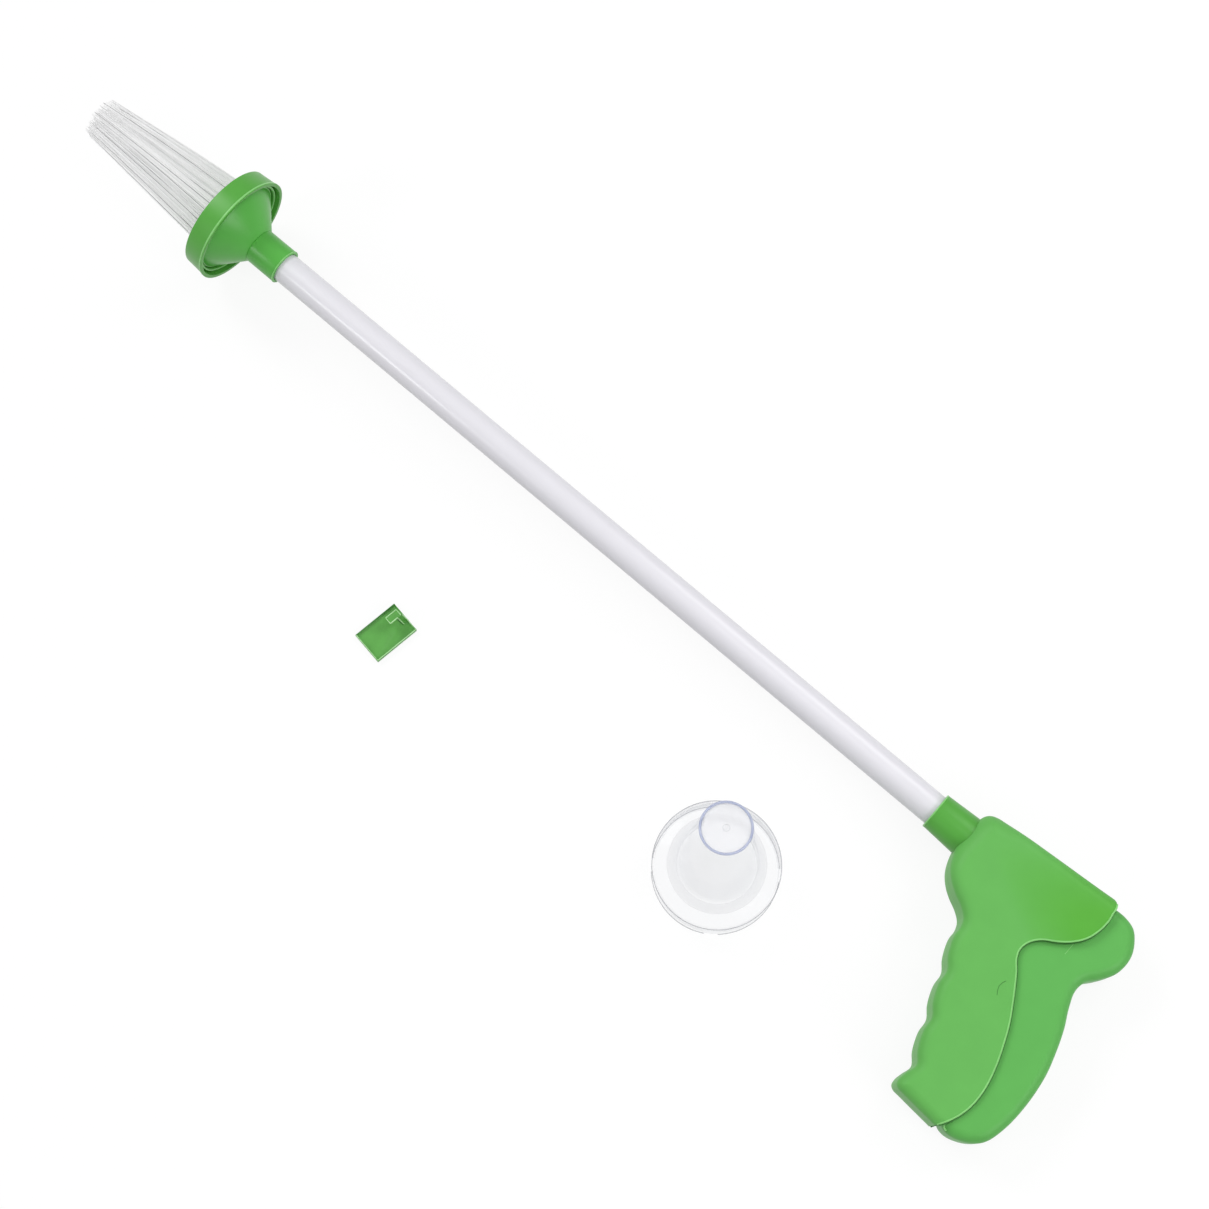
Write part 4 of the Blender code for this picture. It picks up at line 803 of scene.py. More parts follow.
def shell_hollow(side):
    """What is taken out of a shell: its inside, but for the collar's root, the guide and the bosses."""
    outline = shell_outline(HOLLOW_POINTS_A_SPAN)
    inside = drawn_in(outline, [SHELL_WALL] * len(outline))
    fillets = [fillet_at(point) - SHELL_WALL for point in outline]
    hollow = half_form(
        inside, side, -OVERRUN, SHELL_HALF - SHELL_WALL, fillets, HOLLOW_ANGLES, BULGE_GRID * 3
    )
    beyond = SHELL_BEYOND * side
    before = -2 * OVERRUN * side
    low, high = [share * HANDLE_DEPTH for share in GUIDE_SIDE_SHARES]
    boss_radius = (SCREW_HOLE if side > 0 else SCREW_SEAT) + BOSS_WALL
    pivot_boss = rod_form((LEVER_POCKET_HEIGHT + RUNNING_GAP) * side, beyond, PIN_HOLE + PIVOT_BOSS_WALL)
    kept = [
        rod_form(COLLAR_REAR, OVERRUN, COLLAR_RADIUS + RUNNING_GAP),
        box_form((GUIDE_SPAN[0], low, before), (GUIDE_SPAN[1], high, beyond)),
        upright(pivot_boss, *in_handle(PIVOT_SHARES)),
    ]
    kept += [upright(rod_form(before, beyond, boss_radius), *in_handle(share)) for share in SCREW_SHARES]
    return carved(hollow, "DIFFERENCE", together(*kept), joined=True)


def shell_bores(side):
    """The holes in a shell: for the tube and the rod, the carrier, the pivot pin, the collar's crease and
    the screws."""
    pin_start = (LEVER_POCKET_HEIGHT + RUNNING_GAP - OVERRUN) * side
    pin_bore = rod_form(pin_start, (SHELL_HALF - PIN_SKIN) * side, PIN_HOLE)
    crease = (COLLAR_RADIUS - COLLAR_ROOT / 2 - RUNNING_GAP, COLLAR_RADIUS + COLLAR_CREASE)
    bores = [
        turned_form((
            (COLLAR_REAR - OVERRUN, 0), (COLLAR_REAR - OVERRUN, ROD_HOLE), (REAR_SHOULDER, ROD_HOLE),
            (REAR_SHOULDER, SOCKET_RADIUS), (OVERRUN, SOCKET_RADIUS), (OVERRUN, 0),
        ), HOLE_SIDES * 2),
        rod_form(GUIDE_SPAN[0] - OVERRUN, GUIDE_SPAN[1] + OVERRUN, CARRIER_RADIUS + RUNNING_GAP),
        upright(pin_bore, *in_handle(PIVOT_SHARES)),
        sleeve_form(COLLAR_ROOT_REAR - OVERRUN, OVERRUN, *crease),
    ]
    for share in SCREW_SHARES:
        if side > 0:
            bore = rod_form(-OVERRUN, SCREW_END_HEIGHT, SCREW_HOLE)
        else:
            bore = turned_form((
                (-SHELL_BEYOND, 0), (-SHELL_BEYOND, SCREW_SEAT), (-SCREW_SEAT_HEIGHT, SCREW_SEAT),
                (-SCREW_SEAT_HEIGHT, SCREW_HOLE), (OVERRUN, SCREW_HOLE), (OVERRUN, 0),
            ), HOLE_SIDES)
        bores.append(upright(bore, *in_handle(share)))
    return together(*bores)


def handle_half(side):
    """One half of the handle, hollow, with its screw bosses and its open rear, and the line of its lip."""
    outline = shell_outline(POINTS_A_SPAN)
    fillets = [fillet_at(point) for point in outline]
    outer = half_form(outline, side, SEAM / 2, SHELL_HALF, fillets, FILLET_ANGLES, BULGE_GRID)
    rear = rounded_through(all_in_handle(SHELL_REAR_SHARES), POINTS_A_SPAN, closed=False)
    reach = 2 * (SHELL_HALF + BULGE_HEIGHT)
    far = -2 * HANDLE_LENGTH
    rear_cut = prism_form([Vector((far, rear[0].y)), *rear, Vector((far, rear[-1].y))], -reach, reach)
    half = carved(outer, "DIFFERENCE", shell_hollow(side), rear_cut)
    half = carved(half, "DIFFERENCE", shell_bores(side), joined=True)
    lip_highlight = [edge for edge in half.edges if on_lip(edge, rear, side)]
    along_lip = chained(lip_highlight)
    rounded_off(half, lip_highlight, LIP_EDGE, 2)
    # The share of painted shade on the barrel's bulge, from how far it stands out
    share = half.verts.layers.float.new("bulge")
    for vert in half.verts:
        vert[share] = min(1, BULGE_PAINTED_SHADE_GAIN * bulge(vert.co.x, vert.co.y) / BULGE_HEIGHT)
    return half, along_lip


def handle_halves():
    """The two shells, each with a bead along its lip in a painted highlight and a dark bead at the lip's foot
    as painted shadow.
    """
    for label, side in (("left", 1), ("right", -1)):
        half, lip_highlight = handle_half(side)
        finished(f"handle_{label}", half, "handle", [f"shell_{label}"], HANDLE_GREEN, sharp=30)
        if lip_highlight[0].y > lip_highlight[-1].y:
            lip_highlight.reverse()
        last = len(lip_highlight) - LIP_LOW_END
        sunk = Vector((0, 0, side * LIP_BEAD * LIP_SUNK_SHARES[label]))
        bead = [point - sunk for point in lip_highlight[LIP_TOP_END:last]]
        # The path of the painted shadow line just off the lip's foot
        foot = []
        for i in range(LIP_FOOT_TOP_END, last):
            along = (lip_highlight[i + 1] - lip_highlight[i - 1]).normalized()
            place = lip_highlight[i].xy + Vector((-along.y, along.x)).normalized() * LIP_SHADOW_OFF
            foot.append(Vector((*place, side * (LEVER_HALF + LIP_SHADOW_HEIGHT))))
        # The lip's pale bead is a painted highlight, and the dark bead beside its foot is a painted shadow of
        # the lip's overhang
        trim(f"lip_{label}", bead_form(bead, LIP_BEAD), "handle", SCRATCH_AND_HIGHLIGHT_GREEN)
        trim(f"lip_painted_shadow_{label}", bead_form(foot, LIP_SHADOW_RADIUS), "handle", SCUFF_AND_PAINTED_SHADE_GREEN)


def marks():
    """A scratch on the lever, a scuff on the grip and the small tooth at the lever's lower end."""
    for label, body, finish, radius, points in MARKS:
        top = LEVER_HALF if body == "lever" else SHELL_HALF
        path = [in_handle(point).to_3d() + Vector((0, 0, top + point[2])) for point in points]
        trim(label, bead_form(path, radius), body, finish)


def chained(edges):
    """The places along an open chain of edges, from end to end."""
    ends = {}
    for edge in edges:
        for vert in edge.verts:
            ends.setdefault(vert, []).append(edge.other_vert(vert))
    order = [next(vert for vert, others in ends.items() if len(others) == 1)]
    while True:
        onward = [vert for vert in ends[order[-1]] if vert not in order]
        if not onward:
            return [vert.co.copy() for vert in order]
        order.append(onward[0])


def bead_form(path, radius):
    """A thin round bead along a path."""
    rings = []
    for i, here in enumerate(path):
        along = (path[min(i + 1, len(path) - 1)] - path[max(i - 1, 0)]).normalized()
        across = along.cross(Vector((0, 0, 1))).normalized()
        up = across.cross(along)
        angles = [math.tau * k / BEAD_SIDES for k in range(BEAD_SIDES)]
        rings.append([here + radius * (across * math.cos(a) + up * math.sin(a)) for a in angles])
    return stacked_form(rings)


def on_lip(edge, rear, side):
    """Whether an edge is the outer edge of the shell's open rear."""
    if not edge.is_manifold or edge.calc_face_angle() < LIP_ANGLE:
        return False
    middle = (edge.verts[0].co + edge.verts[1].co) / 2
    if min((middle.xy - point).length for point in rear) > LIP_NEAR:
        return False
    outward = sum((face.normal for face in edge.link_faces), Vector())
    return outward.z * side > LIP_FACING and middle.z * side > SHELL_HALF - SHELL_FILLET


def collar_form():
    """The collar on the handle's front, a little wider at its root."""
    form = turned_form((
        (COLLAR_ROOT_REAR, COLLAR_RADIUS - COLLAR_ROOT / 2),
        (COLLAR_ROOT_REAR, COLLAR_RADIUS),
        (REAR_SHOULDER, COLLAR_RADIUS),
        (0, SOCKET_RADIUS + COLLAR_MOUTH),
        (0, SOCKET_RADIUS),
        (REAR_SHOULDER, SOCKET_RADIUS),
    ))
    return softened(form, COLLAR_EDGE)


def lever_outline(points_a_span, opened=0.0):
    front = [point + Vector((opened, 0)) for point in all_in_handle(LEVER_FRONT_SHARES)]
    return rounded_through(all_in_handle(LEVER_REAR_SHARES) + front, points_a_span)


def full_form(outline, half, fillet, angles):
    """A rounded body with both of its sides."""
    fillets = [fillet] * len(outline)
    return stacked_form([
        level(outline, fillets, angle, half, side) for side in (-1, 1) for angle in angles[::side]
    ])


def lever_form():
    """The lever: a channel that is open to the front, with its hub and its pusher."""
    pivot = in_handle(PIVOT_SHARES)
    outer = full_form(lever_outline(POINTS_A_SPAN), LEVER_HALF, LEVER_FILLET, FILLET_ANGLES)
    opened = lever_outline(HOLLOW_POINTS_A_SPAN, SHELL_HALF * 2)
    inside = drawn_in(opened, [LEVER_WALL] * len(opened))
    hollow = full_form(inside, LEVER_HALF - LEVER_WALL, LEVER_FILLET - LEVER_WALL, HOLLOW_ANGLES)
    inner = LEVER_HALF - LEVER_WALL / 2
    front = in_handle(LEVER_FRONT_SHARES[2]).x
    hub = upright(rod_form(-LEVER_HUB_HALF, LEVER_HUB_HALF, LEVER_HUB_RADIUS, HOLE_SIDES * 2), *pivot)
    bridge = box_form(
        (front - BRIDGE_THICKNESS, BRIDGE_SIDES[0], -inner), (front, BRIDGE_SIDES[1], inner)
    )
    pusher = box_form(
        (front - BRIDGE_THICKNESS / 2, -PUSHER_HALF[0], -PUSHER_HALF[1]),
        (CARRIER_REAR - PUSHER_GAP, *PUSHER_HALF),
    )
    channel = carved(outer, "DIFFERENCE", hollow)
    channel = carved(channel, "UNION", hub, bridge, pusher)
    pockets = [
        upright(rod_form(LEVER_POCKET_HEIGHT * side, SHELL_HALF * side, LEVER_POCKET_RADIUS), *pivot)
        for side in (-1, 1)
    ]
    bore = upright(rod_form(-SHELL_HALF, SHELL_HALF, PIN_HOLE), *pivot)
    return carved(channel, "DIFFERENCE", together(*pockets), bore)


def tube_form():
    form = sleeve_form(TUBE_REAR, TUBE_FRONT, TUBE_RADIUS - TUBE_WALL, TUBE_RADIUS)
    return softened(form, HEAD_EDGE)


def funnel_form():
    """The sleeve on the tube and the cone before it."""
    flange = RIM_RADIUS + FUNNEL_FLANGE
    sleeve = SOCKET_RADIUS + SLEEVE_WALL
    inner = RIM_RADIUS - FUNNEL_WALL
    form = turned_form((
        (TUBE_SHOWN_LENGTH, SOCKET_RADIUS),
        (TUBE_SHOWN_LENGTH, sleeve),
        (SLEEVE_FRONT - NECK_CREASE, sleeve),
        (SLEEVE_FRONT, sleeve - NECK_CREASE),
        (SLEEVE_FRONT + NECK_CREASE, sleeve + NECK_CREASE),
        (FLANGE_SPAN[0], flange),
        (FLANGE_SPAN[1], flange),
        (FLANGE_SPAN[1], RIM_RADIUS),
        (FUNNEL_FRONT, RIM_RADIUS),
        (FUNNEL_FRONT, inner),
        (CONE_FRONT, inner),
        (FRONT_SHOULDER + 2 * RING_WALL, ROD_OPENING),
        (FRONT_SHOULDER, ROD_OPENING),
        (FRONT_SHOULDER, SOCKET_RADIUS),
    ))
    return softened(form, HEAD_EDGE)


def rim_form(x, radius, thickness):
    """A thin rounded rim about the catcher's axis, which reaches out to a radius."""
    angles = [math.tau * k / RIM_SIDES for k in range(RIM_SIDES)]
    return turned_form([
        (x + thickness * math.cos(a), radius - thickness * (1 - math.sin(a))) for a in angles
    ])


def coil_form(front, rear):
    """A wire wound about the catcher's axis."""
    bm = bmesh.new()
    steps = SPRING_TURNS * SPRING_STEPS_A_TURN
    place = Matrix.Translation((front, SPRING_RADIUS, 0))
    bmesh.ops.create_circle(bm, segments=WIRE_SIDES, radius=SPRING_WIRE, matrix=place)
    bmesh.ops.spin(
        bm, geom=list(bm.verts) + list(bm.edges), cent=Vector(), axis=X_AXIS,
        dvec=X_AXIS * (rear - front) / steps, angle=math.tau * SPRING_TURNS, steps=steps,
    )
    bmesh.ops.holes_fill(bm, edges=[edge for edge in bm.edges if edge.is_boundary], sides=0)
    faced_out(bm)
    return bm


def return_spring():
    """The coil between the collar and the carrier, on a mesh of its own. In the catcher it closes up on the
    carrier when the lever sends that forward.
    """
    front = COLLAR_REAR - RUNNING_GAP - SPRING_WIRE
    rear = CARRIER_FRONT + RUNNING_GAP + SPRING_WIRE
    form = coil_form(front, rear)
    coil = finished("spring_coil", form, "rod", ["return_spring"], STEEL, sharp=60)
    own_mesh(coil)


def ring_form():
    """The ring: a flared band with a rolled rear edge, a flange in front and a seat inside."""
    inner_face = RING_FRONT - RING_FLANGE
    slope = (RING_REAR_RADIUS - RING_FRONT_RADIUS) / (RING_FRONT - RING_REAR)
    form = turned_form((
        (RING_FRONT, HINGE_RADIUS - RING_FLANGE),
        (RING_FRONT, RING_FRONT_RADIUS),
        (RING_REAR + RING_WALL, RING_REAR_RADIUS - RING_ROLL),
        (RING_REAR, RING_REAR_RADIUS),
        (RING_REAR, BAND_INNER_RADIUS + slope * (inner_face - RING_REAR)),
        (inner_face, BAND_INNER_RADIUS),
        (inner_face, STEP_RADII[1]),
        (STEP_REAR, STEP_RADII[1]),
        (STEP_REAR, STEP_RADII[0]),
        (inner_face - SEAT_DEPTH, STEP_RADII[0]),
        (inner_face - SEAT_DEPTH, SEAT_RADIUS),
        (inner_face, SEAT_RADIUS),
        (inner_face, HINGE_RADIUS - RING_FLANGE),
    ))
    softened(form, RING_EDGE)
    corner = (HINGE_RADIUS + RING_WINDOW_GAP) / math.cos(SECTOR / 2)
    window = rod_form(inner_face - OVERRUN, RING_FRONT + OVERRUN, corner, SEGMENTS)
    return carved(form, "DIFFERENCE", swung(window, SECTOR / 2, "X"))


def segment_half_width(radius):
    return radius * SECTOR_SLOPE - SEGMENT_SIDE


def wedge_form(span, radii):
    """A slice of a segment about its hinge: X along the catcher, Y outwards, Z along the hinge."""
    corners = [
        (radius - HINGE_RADIUS, side * segment_half_width(radius))
        for radius, side in ((radii[0], -1), (radii[1], -1), (radii[1], 1), (radii[0], 1))
    ]
    return softened(stacked_form([[(x, y, z) for y, z in corners] for x in span]), WEDGE_EDGE, 2)


def arm_form():
    """The plate that carries a slice of bristles, with its trunnion."""
    trunnion = upright(rod_form(-TRUNNION_HALF, TRUNNION_HALF, TRUNNION_RADIUS))
    return together(wedge_form(ARM_SPAN, ARM_RADII), trunnion)


def strand_mesh():
    """A thin three-sided spike about X, one unit long, in a few steps."""
    bm = bmesh.new()
    bmesh.ops.create_cone(
        bm, cap_ends=True, segments=3, radius1=STRAND_RADIUS, radius2=STRAND_TIP_RADIUS, depth=1
    )
    long_edges = [edge for edge in bm.edges if edge.calc_length() > 0.5]
    bmesh.ops.subdivide_edges(bm, edges=long_edges, cuts=STRAND_STEPS - 1)
    swung(bm, math.pi / 2, "Y")
    bmesh.ops.translate(bm, verts=bm.verts, vec=(0.5, 0, 0))
    return mesh_of("strand", bm)


def strands_form(number, tones):
    """A segment's strands of some tones, each of which leans in and bows a little."""
    chance = random.Random(BRISTLE_SEED + number)
    bm = bmesh.new()
    single = strand_mesh()
    turn = SECTOR * (number - 1)
    drift = Vector((0, math.cos(turn), -math.sin(turn)))
    for index in range(STRANDS_A_SEGMENT):
        out = math.sqrt(chance.random())
        across = chance.uniform(-ROOT_SPREAD, ROOT_SPREAD)
        tone = index * TONE_STEP % 1
        lean = chance.uniform(-TIP_LEAN, TIP_LEAN)
        reach = TIP_X - HINGE_X - TIP_RAGGED * chance.random() ** 2
        bow = chance.uniform(-1, 1) * STRAND_BOW
        roll = Matrix.Rotation(chance.uniform(0, math.tau), 3, "X")
        if not tones[0] <= tone < tones[1]:
            continue
        root_radius, tip_radius = [low + (high - low) * out for low, high in (ROOT_RADII, TIP_RADII)]
        root = Vector((ROOT_X, root_radius, segment_half_width(root_radius) * across))
        tip_across = max(-TIP_SPREAD, min(TIP_SPREAD, across + lean))
        tip = Vector((reach, tip_radius, tip_radius * SECTOR_SLOPE * tip_across))
        before = len(bm.verts)
        bm.from_mesh(single)
        bm.verts.ensure_lookup_table()
        for vert in bm.verts[before:]:
            share = vert.co.x
            around = roll @ Vector((0, vert.co.y, vert.co.z))
            middle = root.lerp(tip, share) + drift * (TIP_DRIFT * share * share)
            middle.y += bow * math.sin(math.pi * share)
            vert.co = middle + around
    bpy.data.meshes.remove(single)
    place = Matrix.Translation((HINGE_X, 0, 0)) @ Matrix.Rotation(turn, 4, "X")
    bmesh.ops.transform(bm, matrix=place, verts=bm.verts)
    return bm


def bristles():
    """Each segment's arm, the backing of its slice, and its strands in three tones."""
    for number in range(1, SEGMENTS + 1):
        turn = Matrix.Rotation(SECTOR * (number - 1), 4, "X")
        place = CATCHER @ turn @ Matrix.Translation((HINGE_X, HINGE_RADIUS, 0))
        body, arm, bristle = f"segment_{number}", f"segment_arm_{number}", f"bristle_segment_{number}"
        finished(f"holder_{number}", arm_form(), body, [arm], NYLON, place)
        backing = wedge_form(SLICE_SPAN, SLICE_RADII)
        finished(f"backing_{number}", backing, body, [bristle], PALE_FIBRE, place)
        for label, tones, finish in (
            ("grey", (0, GREY_SHARE), GREY_FIBRE),
            ("soft", (GREY_SHARE, GREY_SHARE + SOFT_SHARE), SOFT_FIBRE),
            ("pale", (GREY_SHARE + SOFT_SHARE, 1), PALE_FIBRE),
        ):
            form = strands_form(number, tones)
            strands = finished(f"{label}_strands_{number}", form, body, [bristle], finish)
            strands.visible_shadow = False
            strands.visible_diffuse = False


def cap_form():
    """The cap, as a thin wall from its open foot to its closed top, with notches in its foot."""
    corner = CAP_SKIRT_HEIGHT - CAP_CORNER
    skirt = [(0, CAP_RADIUS), (corner, CAP_RADIUS)]
    shoulder = [
        (corner + CAP_CORNER * math.sin(angle), CAP_RADIUS - CAP_CORNER * (1 - math.cos(angle)))
        for angle in CAP_CORNER_ANGLES
    ]
    shoulder += [(CAP_STEP - CAP_STEP_LIP[0], CAP_STEP_RADIUS + CAP_STEP_LIP[1]), (CAP_STEP, CAP_STEP_RADIUS)]
    slope = CAP_STEP_RADIUS - CAP_WAIST_RADIUS
    waist = [
        (CAP_STEP + CAP_BLEND * share, CAP_WAIST_RADIUS + slope * (1 - share) ** 2)
        for share in CAP_BLEND_SHARES
    ]
    top = [(CAP_HEIGHT - CAP_TOP_EDGE, CAP_TOP_RADIUS), (CAP_HEIGHT, CAP_TOP_RADIUS - CAP_TOP_EDGE)]
    # The inside lies below and within each part of the outside, by shares of the wall
    inner = [
        (x - CAP_WALL * down, radius - CAP_WALL * inwards)
        for part, down, inwards in ((skirt, 0, 1), (shoulder, 0.8, 0.8), (waist, 0.3, 1))
        for x, radius in part
    ]
    inner += [(CAP_HEIGHT - CAP_TOP, CAP_TOP_RADIUS - CAP_WALL), (CAP_HEIGHT - CAP_TOP, 0)]
    gate_floor = CAP_HEIGHT - GATE_DEPTH
    gate = [(CAP_HEIGHT, GATE_RADII[1]), (gate_floor, GATE_RADII[0]), (gate_floor, 0)]
    form = upright(turned_form([*inner[::-1], *skirt, *shoulder, *waist, *top, *gate]))
    return carved(form, "DIFFERENCE", cap_notches())


def cap_notches():
    notches = []
    for number in range(CAP_NOTCHES):
        notch = box_form(
            (CAP_RADIUS - CAP_NOTCH_DEPTH, -CAP_NOTCH_WIDTH / 2, -OVERRUN),
            (CAP_RADIUS + OVERRUN, CAP_NOTCH_WIDTH / 2, CAP_NOTCH_HEIGHT),
        )
        notches.append(swung(notch, CAP_NOTCH_TURN + math.tau * number / CAP_NOTCHES, "Z"))
    return together(*notches)


def cap_rims(place):
    """Thin rims where the cap's wall turns, the gate's mark on its top, and the thicker webs of its steps."""
    for name, height, inner, outer, finish in (
        ("cap_top_web", CAP_HEIGHT - CAP_TOP / 2, 0, CAP_TOP_RADIUS - CAP_WALL, TOP_WEB),
        ("cap_step_web", CAP_STEP - CAP_WALL / 2, CAP_WAIST_RADIUS, CAP_STEP_RADIUS, STEP_WEB),
    ):
        form = upright(sleeve_form(height, height + WEB, inner, outer))
        web = trim(name, form, "cap", finish, place)
        web.visible_shadow = False
    for name, height, reach, thickness, finish in (
        ("cap_top_rim", CAP_HEIGHT - CAP_RIM, CAP_TOP_RADIUS, CAP_RIM, BLUE_RIM),
        ("cap_skirt_rim", CAP_SKIRT_HEIGHT - CAP_SKIRT_RIM_DROP, CAP_RADIUS, CAP_FINE_RIM, GREY_RIM),
        ("cap_foot_rim", CAP_FINE_RIM, CAP_RADIUS, CAP_FINE_RIM, GREY_RIM),
        ("cap_gate_rim", CAP_HEIGHT - CAP_FINE_RIM, GATE_RIM_RADIUS, CAP_FINE_RIM, STEP_WEB),
    ):
        form = upright(rim_form(height, reach, thickness))
        if name == "cap_foot_rim":
            form = carved(form, "DIFFERENCE", cap_notches())
        trim(name, form, "cap", finish, place)


def on_hook(shares):
    return shares[0] * HOOK_WIDTH, shares[1] * HOOK_LENGTH


def rectangle(x, y, half_width, half_length):
    """The corners of a rectangle about a place, counter-clockwise."""
    return [(x + sx * half_width, y + sy * half_length) for sx, sy in ((-1, -1), (1, -1), (1, 1), (-1, 1))]


def hook_form():
    """The tray that sticks to the wall, with its flag on a leaning post."""
    x, y = on_hook((0.5, 0.5))
    plate = box_form((-x, -y, 0), (x, y, HOOK_TOP))
    lid = [face for face in plate.faces if face.normal.z > 0.9]
    bmesh.ops.inset_region(plate, faces=lid, thickness=HOOK_RIM_WIDTH)
    bmesh.ops.translate(plate, verts=lid[0].verts, vec=(0, 0, -HOOK_RIM_HEIGHT))
    flag = rectangle(*on_hook(FLAG_PLACE_SHARES), FLAG_WIDTH / 2, FLAG_LENGTH / 2)
    flag = box_form((*flag[0], FLAG_HEIGHT), (*flag[2], FLAG_HEIGHT + FLAG_THICKNESS))
    post = [
        [(*corner, height) for corner in rectangle(*on_hook(shares), POST_SIZE[0] / 2, POST_SIZE[1] / 2)]
        for shares, height in (
            (POST_PLACE_SHARES, HOOK_PLATE / 2), (POST_TOP_SHARES, FLAG_HEIGHT + FLAG_THICKNESS / 2),
        )
    ]
    return softened(carved(plate, "UNION", stacked_form(post), flag), HOOK_EDGE, 2)


def at_height(height, *corners):
    return [(*corner, height) for corner in corners]


def hook_edges(place):
    """Painted highlights along the edges of the tray, the flag and its stem, and painted shade along the edge
    across from them and under the stem.
    """
    tray = rectangle(0, 0, HOOK_WIDTH / 2 - HOOK_BEAD, HOOK_LENGTH / 2 - HOOK_BEAD)
    quarter = (tray[0][0] / 4, tray[0][1])
    flag = rectangle(*on_hook(FLAG_PLACE_SHARES), (FLAG_WIDTH - HOOK_BEAD) / 2, (FLAG_LENGTH - HOOK_BEAD) / 2)
    high = FLAG_HEIGHT + FLAG_THICKNESS
    foot, head = on_hook(POST_PLACE_SHARES), on_hook(POST_TOP_SHARES)
    out, wide = POST_SIZE[0] / 2, (POST_SIZE[1] - HOOK_BEAD) / 2
    # The bright beads are painted highlights and the dark beads painted shade
    edges = [
        ("tray_highlight", PAINTED_HIGHLIGHT_GREEN, at_height(HOOK_TOP, tray[2], tray[3], tray[0], quarter)),
        ("tray_painted_shade", SCUFF_AND_PAINTED_SHADE_GREEN, at_height(HOOK_TOP, tray[2], tray[1])),
        ("flag_highlight", PAINTED_HIGHLIGHT_GREEN, at_height(high, *flag[::-1])),
        ("flag_lower_highlight", PAINTED_HIGHLIGHT_GREEN, at_height(high, flag[3], (flag[0][0], head[1] + wide))),
    ]
    for label, finish, across, drop in (
        ("stem_highlight_1", PAINTED_HIGHLIGHT_GREEN, -wide, 0), ("stem_highlight_2", PAINTED_HIGHLIGHT_GREEN, wide, 0),
        ("stem_painted_shadow", SCUFF_AND_PAINTED_SHADE_GREEN, wide + 2 * HOOK_BEAD, 2 * HOOK_BEAD),
    ):
        start = (head[0] - out, head[1] + across, FLAG_HEIGHT - drop)
        edges.append((label, finish, [start, (foot[0] - out, foot[1] + across, HOOK_TOP)]))
    for label, finish, points in edges:
        form = bead_form([Vector(point) for point in points], HOOK_BEAD)
        trim(label, form, "hook", finish, place=place)


def standing_place(node, turn=0.0):
    low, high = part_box(node)
    middle = (Vector(low) + Vector(high)) / 2
    return Matrix.Translation((middle.x, middle.y, 0)) @ Matrix.Rotation(turn, 4, "Z")


def table():
    """A white table to the eye, which throws back little light and takes soft shadows."""
    bm = bmesh.new()
    bmesh.ops.create_grid(bm, x_segments=1, y_segments=1, size=TABLE_HALF)
    floor = linked("table_top", mesh_of("table_top", bm))
    pale, tree, shader = shaded("pale_table")
    rays = tree.nodes.new("ShaderNodeLightPath").outputs
    seen = calculated(tree, "MAXIMUM", rays["Is Camera Ray"], rays["Is Glossy Ray"])
    clear = calculated(tree, "MAXIMUM", seen, rays["Is Transmission Ray"])
    sockets(
        shader,
        Base_Color=ranged(tree, clear, FLOOR_BOUNCE, FLOOR_SHADE),
        Roughness=1,
        Specular_IOR_Level=0,
        Emission_Color=(1, 1, 1, 1),
        Emission_Strength=calculated(tree, "MULTIPLY", clear, FLOOR_LIFT),
    )
    floor.data.materials.append(pale)


def sky_and_lamps():
    sky = bpy.data.worlds.new("studio")
    sky.use_nodes = True
    tree = sky.node_tree
    apart = added(tree, "SeparateXYZ", "Z", Vector=added(tree, "TexCoord", "Generated"))
    camera_ray = added(tree, "LightPath", "Is Camera Ray")
    glow = calculated(tree, "MAXIMUM", ranged(tree, apart, SKY_LOW, SKY_HIGH), camera_ray)
    sockets(tree.nodes["Background"], Color=(1, 1, 1, 1), Strength=glow)
    bpy.context.scene.world = sky
    for label, place, aim, size, power in LAMPS:
        lamp = bpy.data.lights.new(label, "AREA")
        lamp.size = size
        lamp.energy = power
        light = linked(label, lamp)
        light.location = place
        light.rotation_euler = (Vector(aim) - Vector(place)).to_track_quat("-Z", "Y").to_euler()


def camera():
    lens = bpy.data.cameras.new("camera")
    lens.lens = CAMERA_LENS
    lens.sensor_width = SENSOR
    lens.clip_end = CAMERA_SEES
    eye = linked("camera", lens)
    catcher = CATCHER.translation
    eye.location = (catcher.x + CAMERA_FROM_CATCHER[0], catcher.y + CAMERA_FROM_CATCHER[1], CAMERA_HEIGHT)
    eye.rotation_euler = [math.radians(angle) for angle in CAMERA_TURN]
    bpy.context.scene.camera = eye


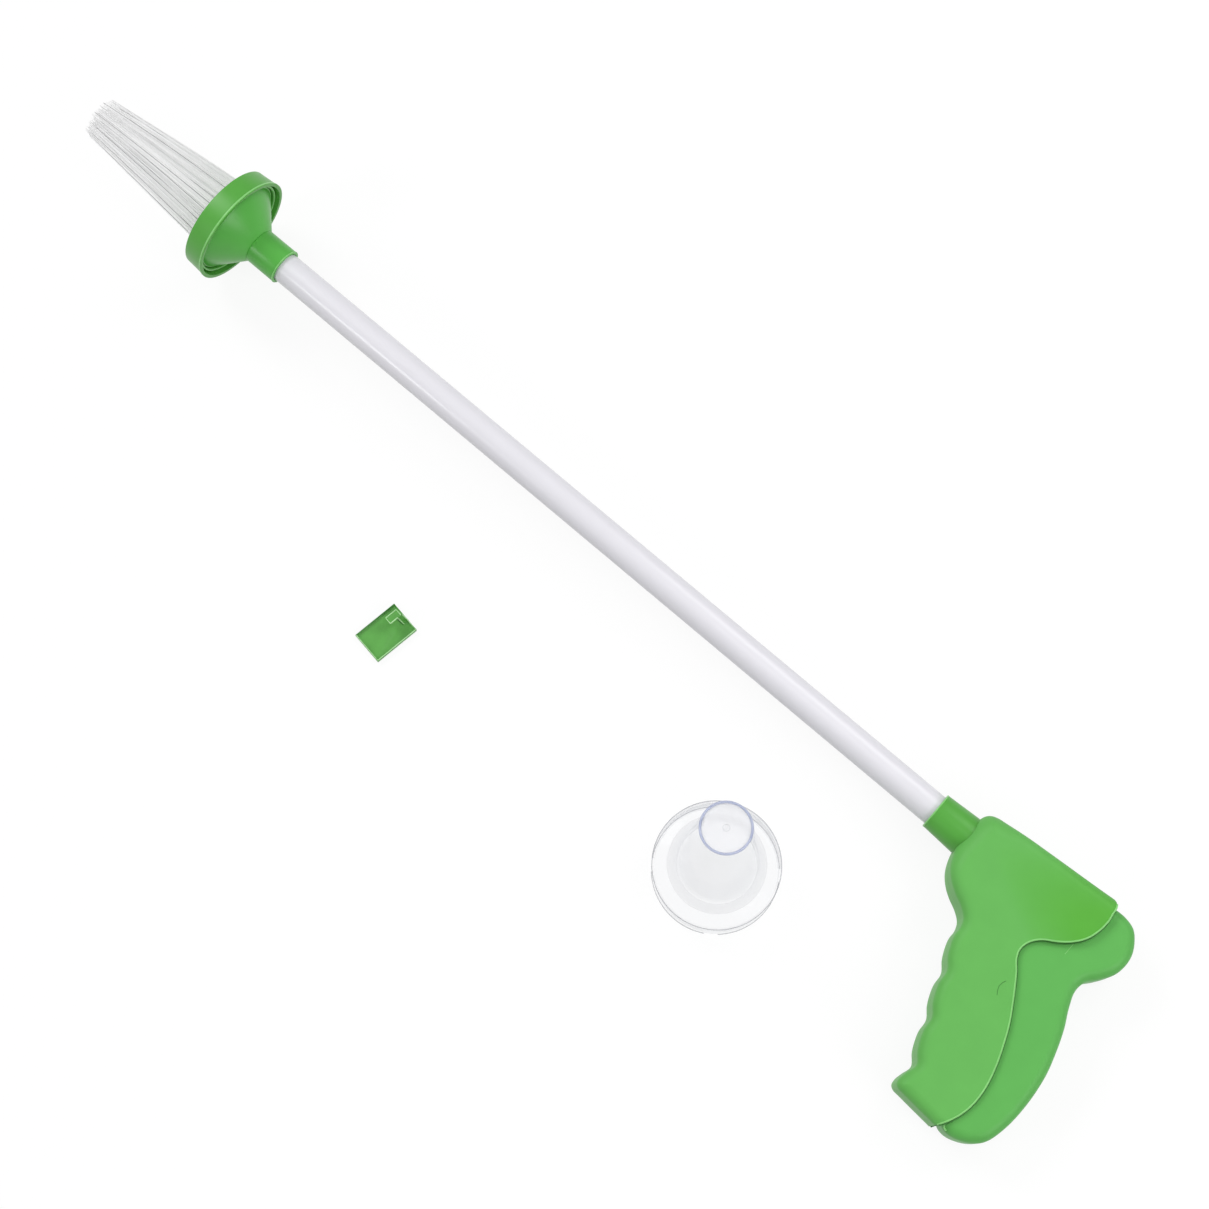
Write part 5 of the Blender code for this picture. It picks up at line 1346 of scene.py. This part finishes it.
def carried_over():
    """The CAD's inner pieces keep their shapes and get real finishes."""
    screws = [f"shell_screw_{number}" for number in range(1, len(SCREW_SHARES) + 1)]
    for finish, nodes in (
        (STEEL, ["push_rod", "lever_pivot_pin", "hub_screw", *screws]),
        (NYLON, ["rod_carrier", "rear_bush", "front_bush"]),
        (GREEN, ["hub_plate", "hub_disc"]),
    ):
        for node in nodes:
            for place in frame["nodes"][node].material_slots:
                place.material = finish


bpy.context.scene.view_settings.view_transform = "Standard"
camera()
table()
sky_and_lamps()
carried_over()
handle_halves()
marks()
trim("collar", collar_form(), "handle", GREEN)
finished("lever", lever_form(), "lever", ["squeeze_lever"], LEVER_GREEN, sharp=30)
finished("long_tube", tube_form(), "handle", ["tube"], WHITE)
finished("funnel", funnel_form(), "handle", ["head_funnel"], FUNNEL_GREEN)
finished("ring", ring_form(), "handle", ["head_ring"], GREEN)
# Pale rims along the rounded edges of the ring, funnel, step, sleeve mouth and collar mouth: a painted
# highlight
for rim, place_on_axis, reach, thickness in (
    ("ring_rim", RING_REAR + RING_BEAD, RING_REAR_RADIUS, RING_BEAD),
    ("funnel_rim", CONE_FRONT - FUNNEL_BEAD, RIM_RADIUS + FUNNEL_FLANGE + FUNNEL_BEAD / 2, FUNNEL_BEAD),
    ("step_rim", STEP_REAR, STEP_RADII[1], FUNNEL_BEAD),
    ("sleeve_rim", TUBE_SHOWN_LENGTH + MOUTH_BEAD, SOCKET_RADIUS + SLEEVE_WALL + MOUTH_BEAD / 2, MOUTH_BEAD),
    ("collar_rim", -MOUTH_BEAD, SOCKET_RADIUS + COLLAR_MOUTH + MOUTH_BEAD / 2, MOUTH_BEAD),
):
    trim(rim, rim_form(place_on_axis, reach, thickness), "handle", SCRATCH_AND_HIGHLIGHT_GREEN)
bristles()
return_spring()
cap_place = standing_place("clear_cap")
finished("cap_moulding", cap_form(), "cap", ["clear_cap"], CLEAR, cap_place)
cap_rims(cap_place)
hook_place = standing_place("wall_hook", HOOK_TURN)
finished("hook_moulding", hook_form(), "hook", ["wall_hook"], HOOK_GREEN, place=hook_place)
hook_edges(hook_place)
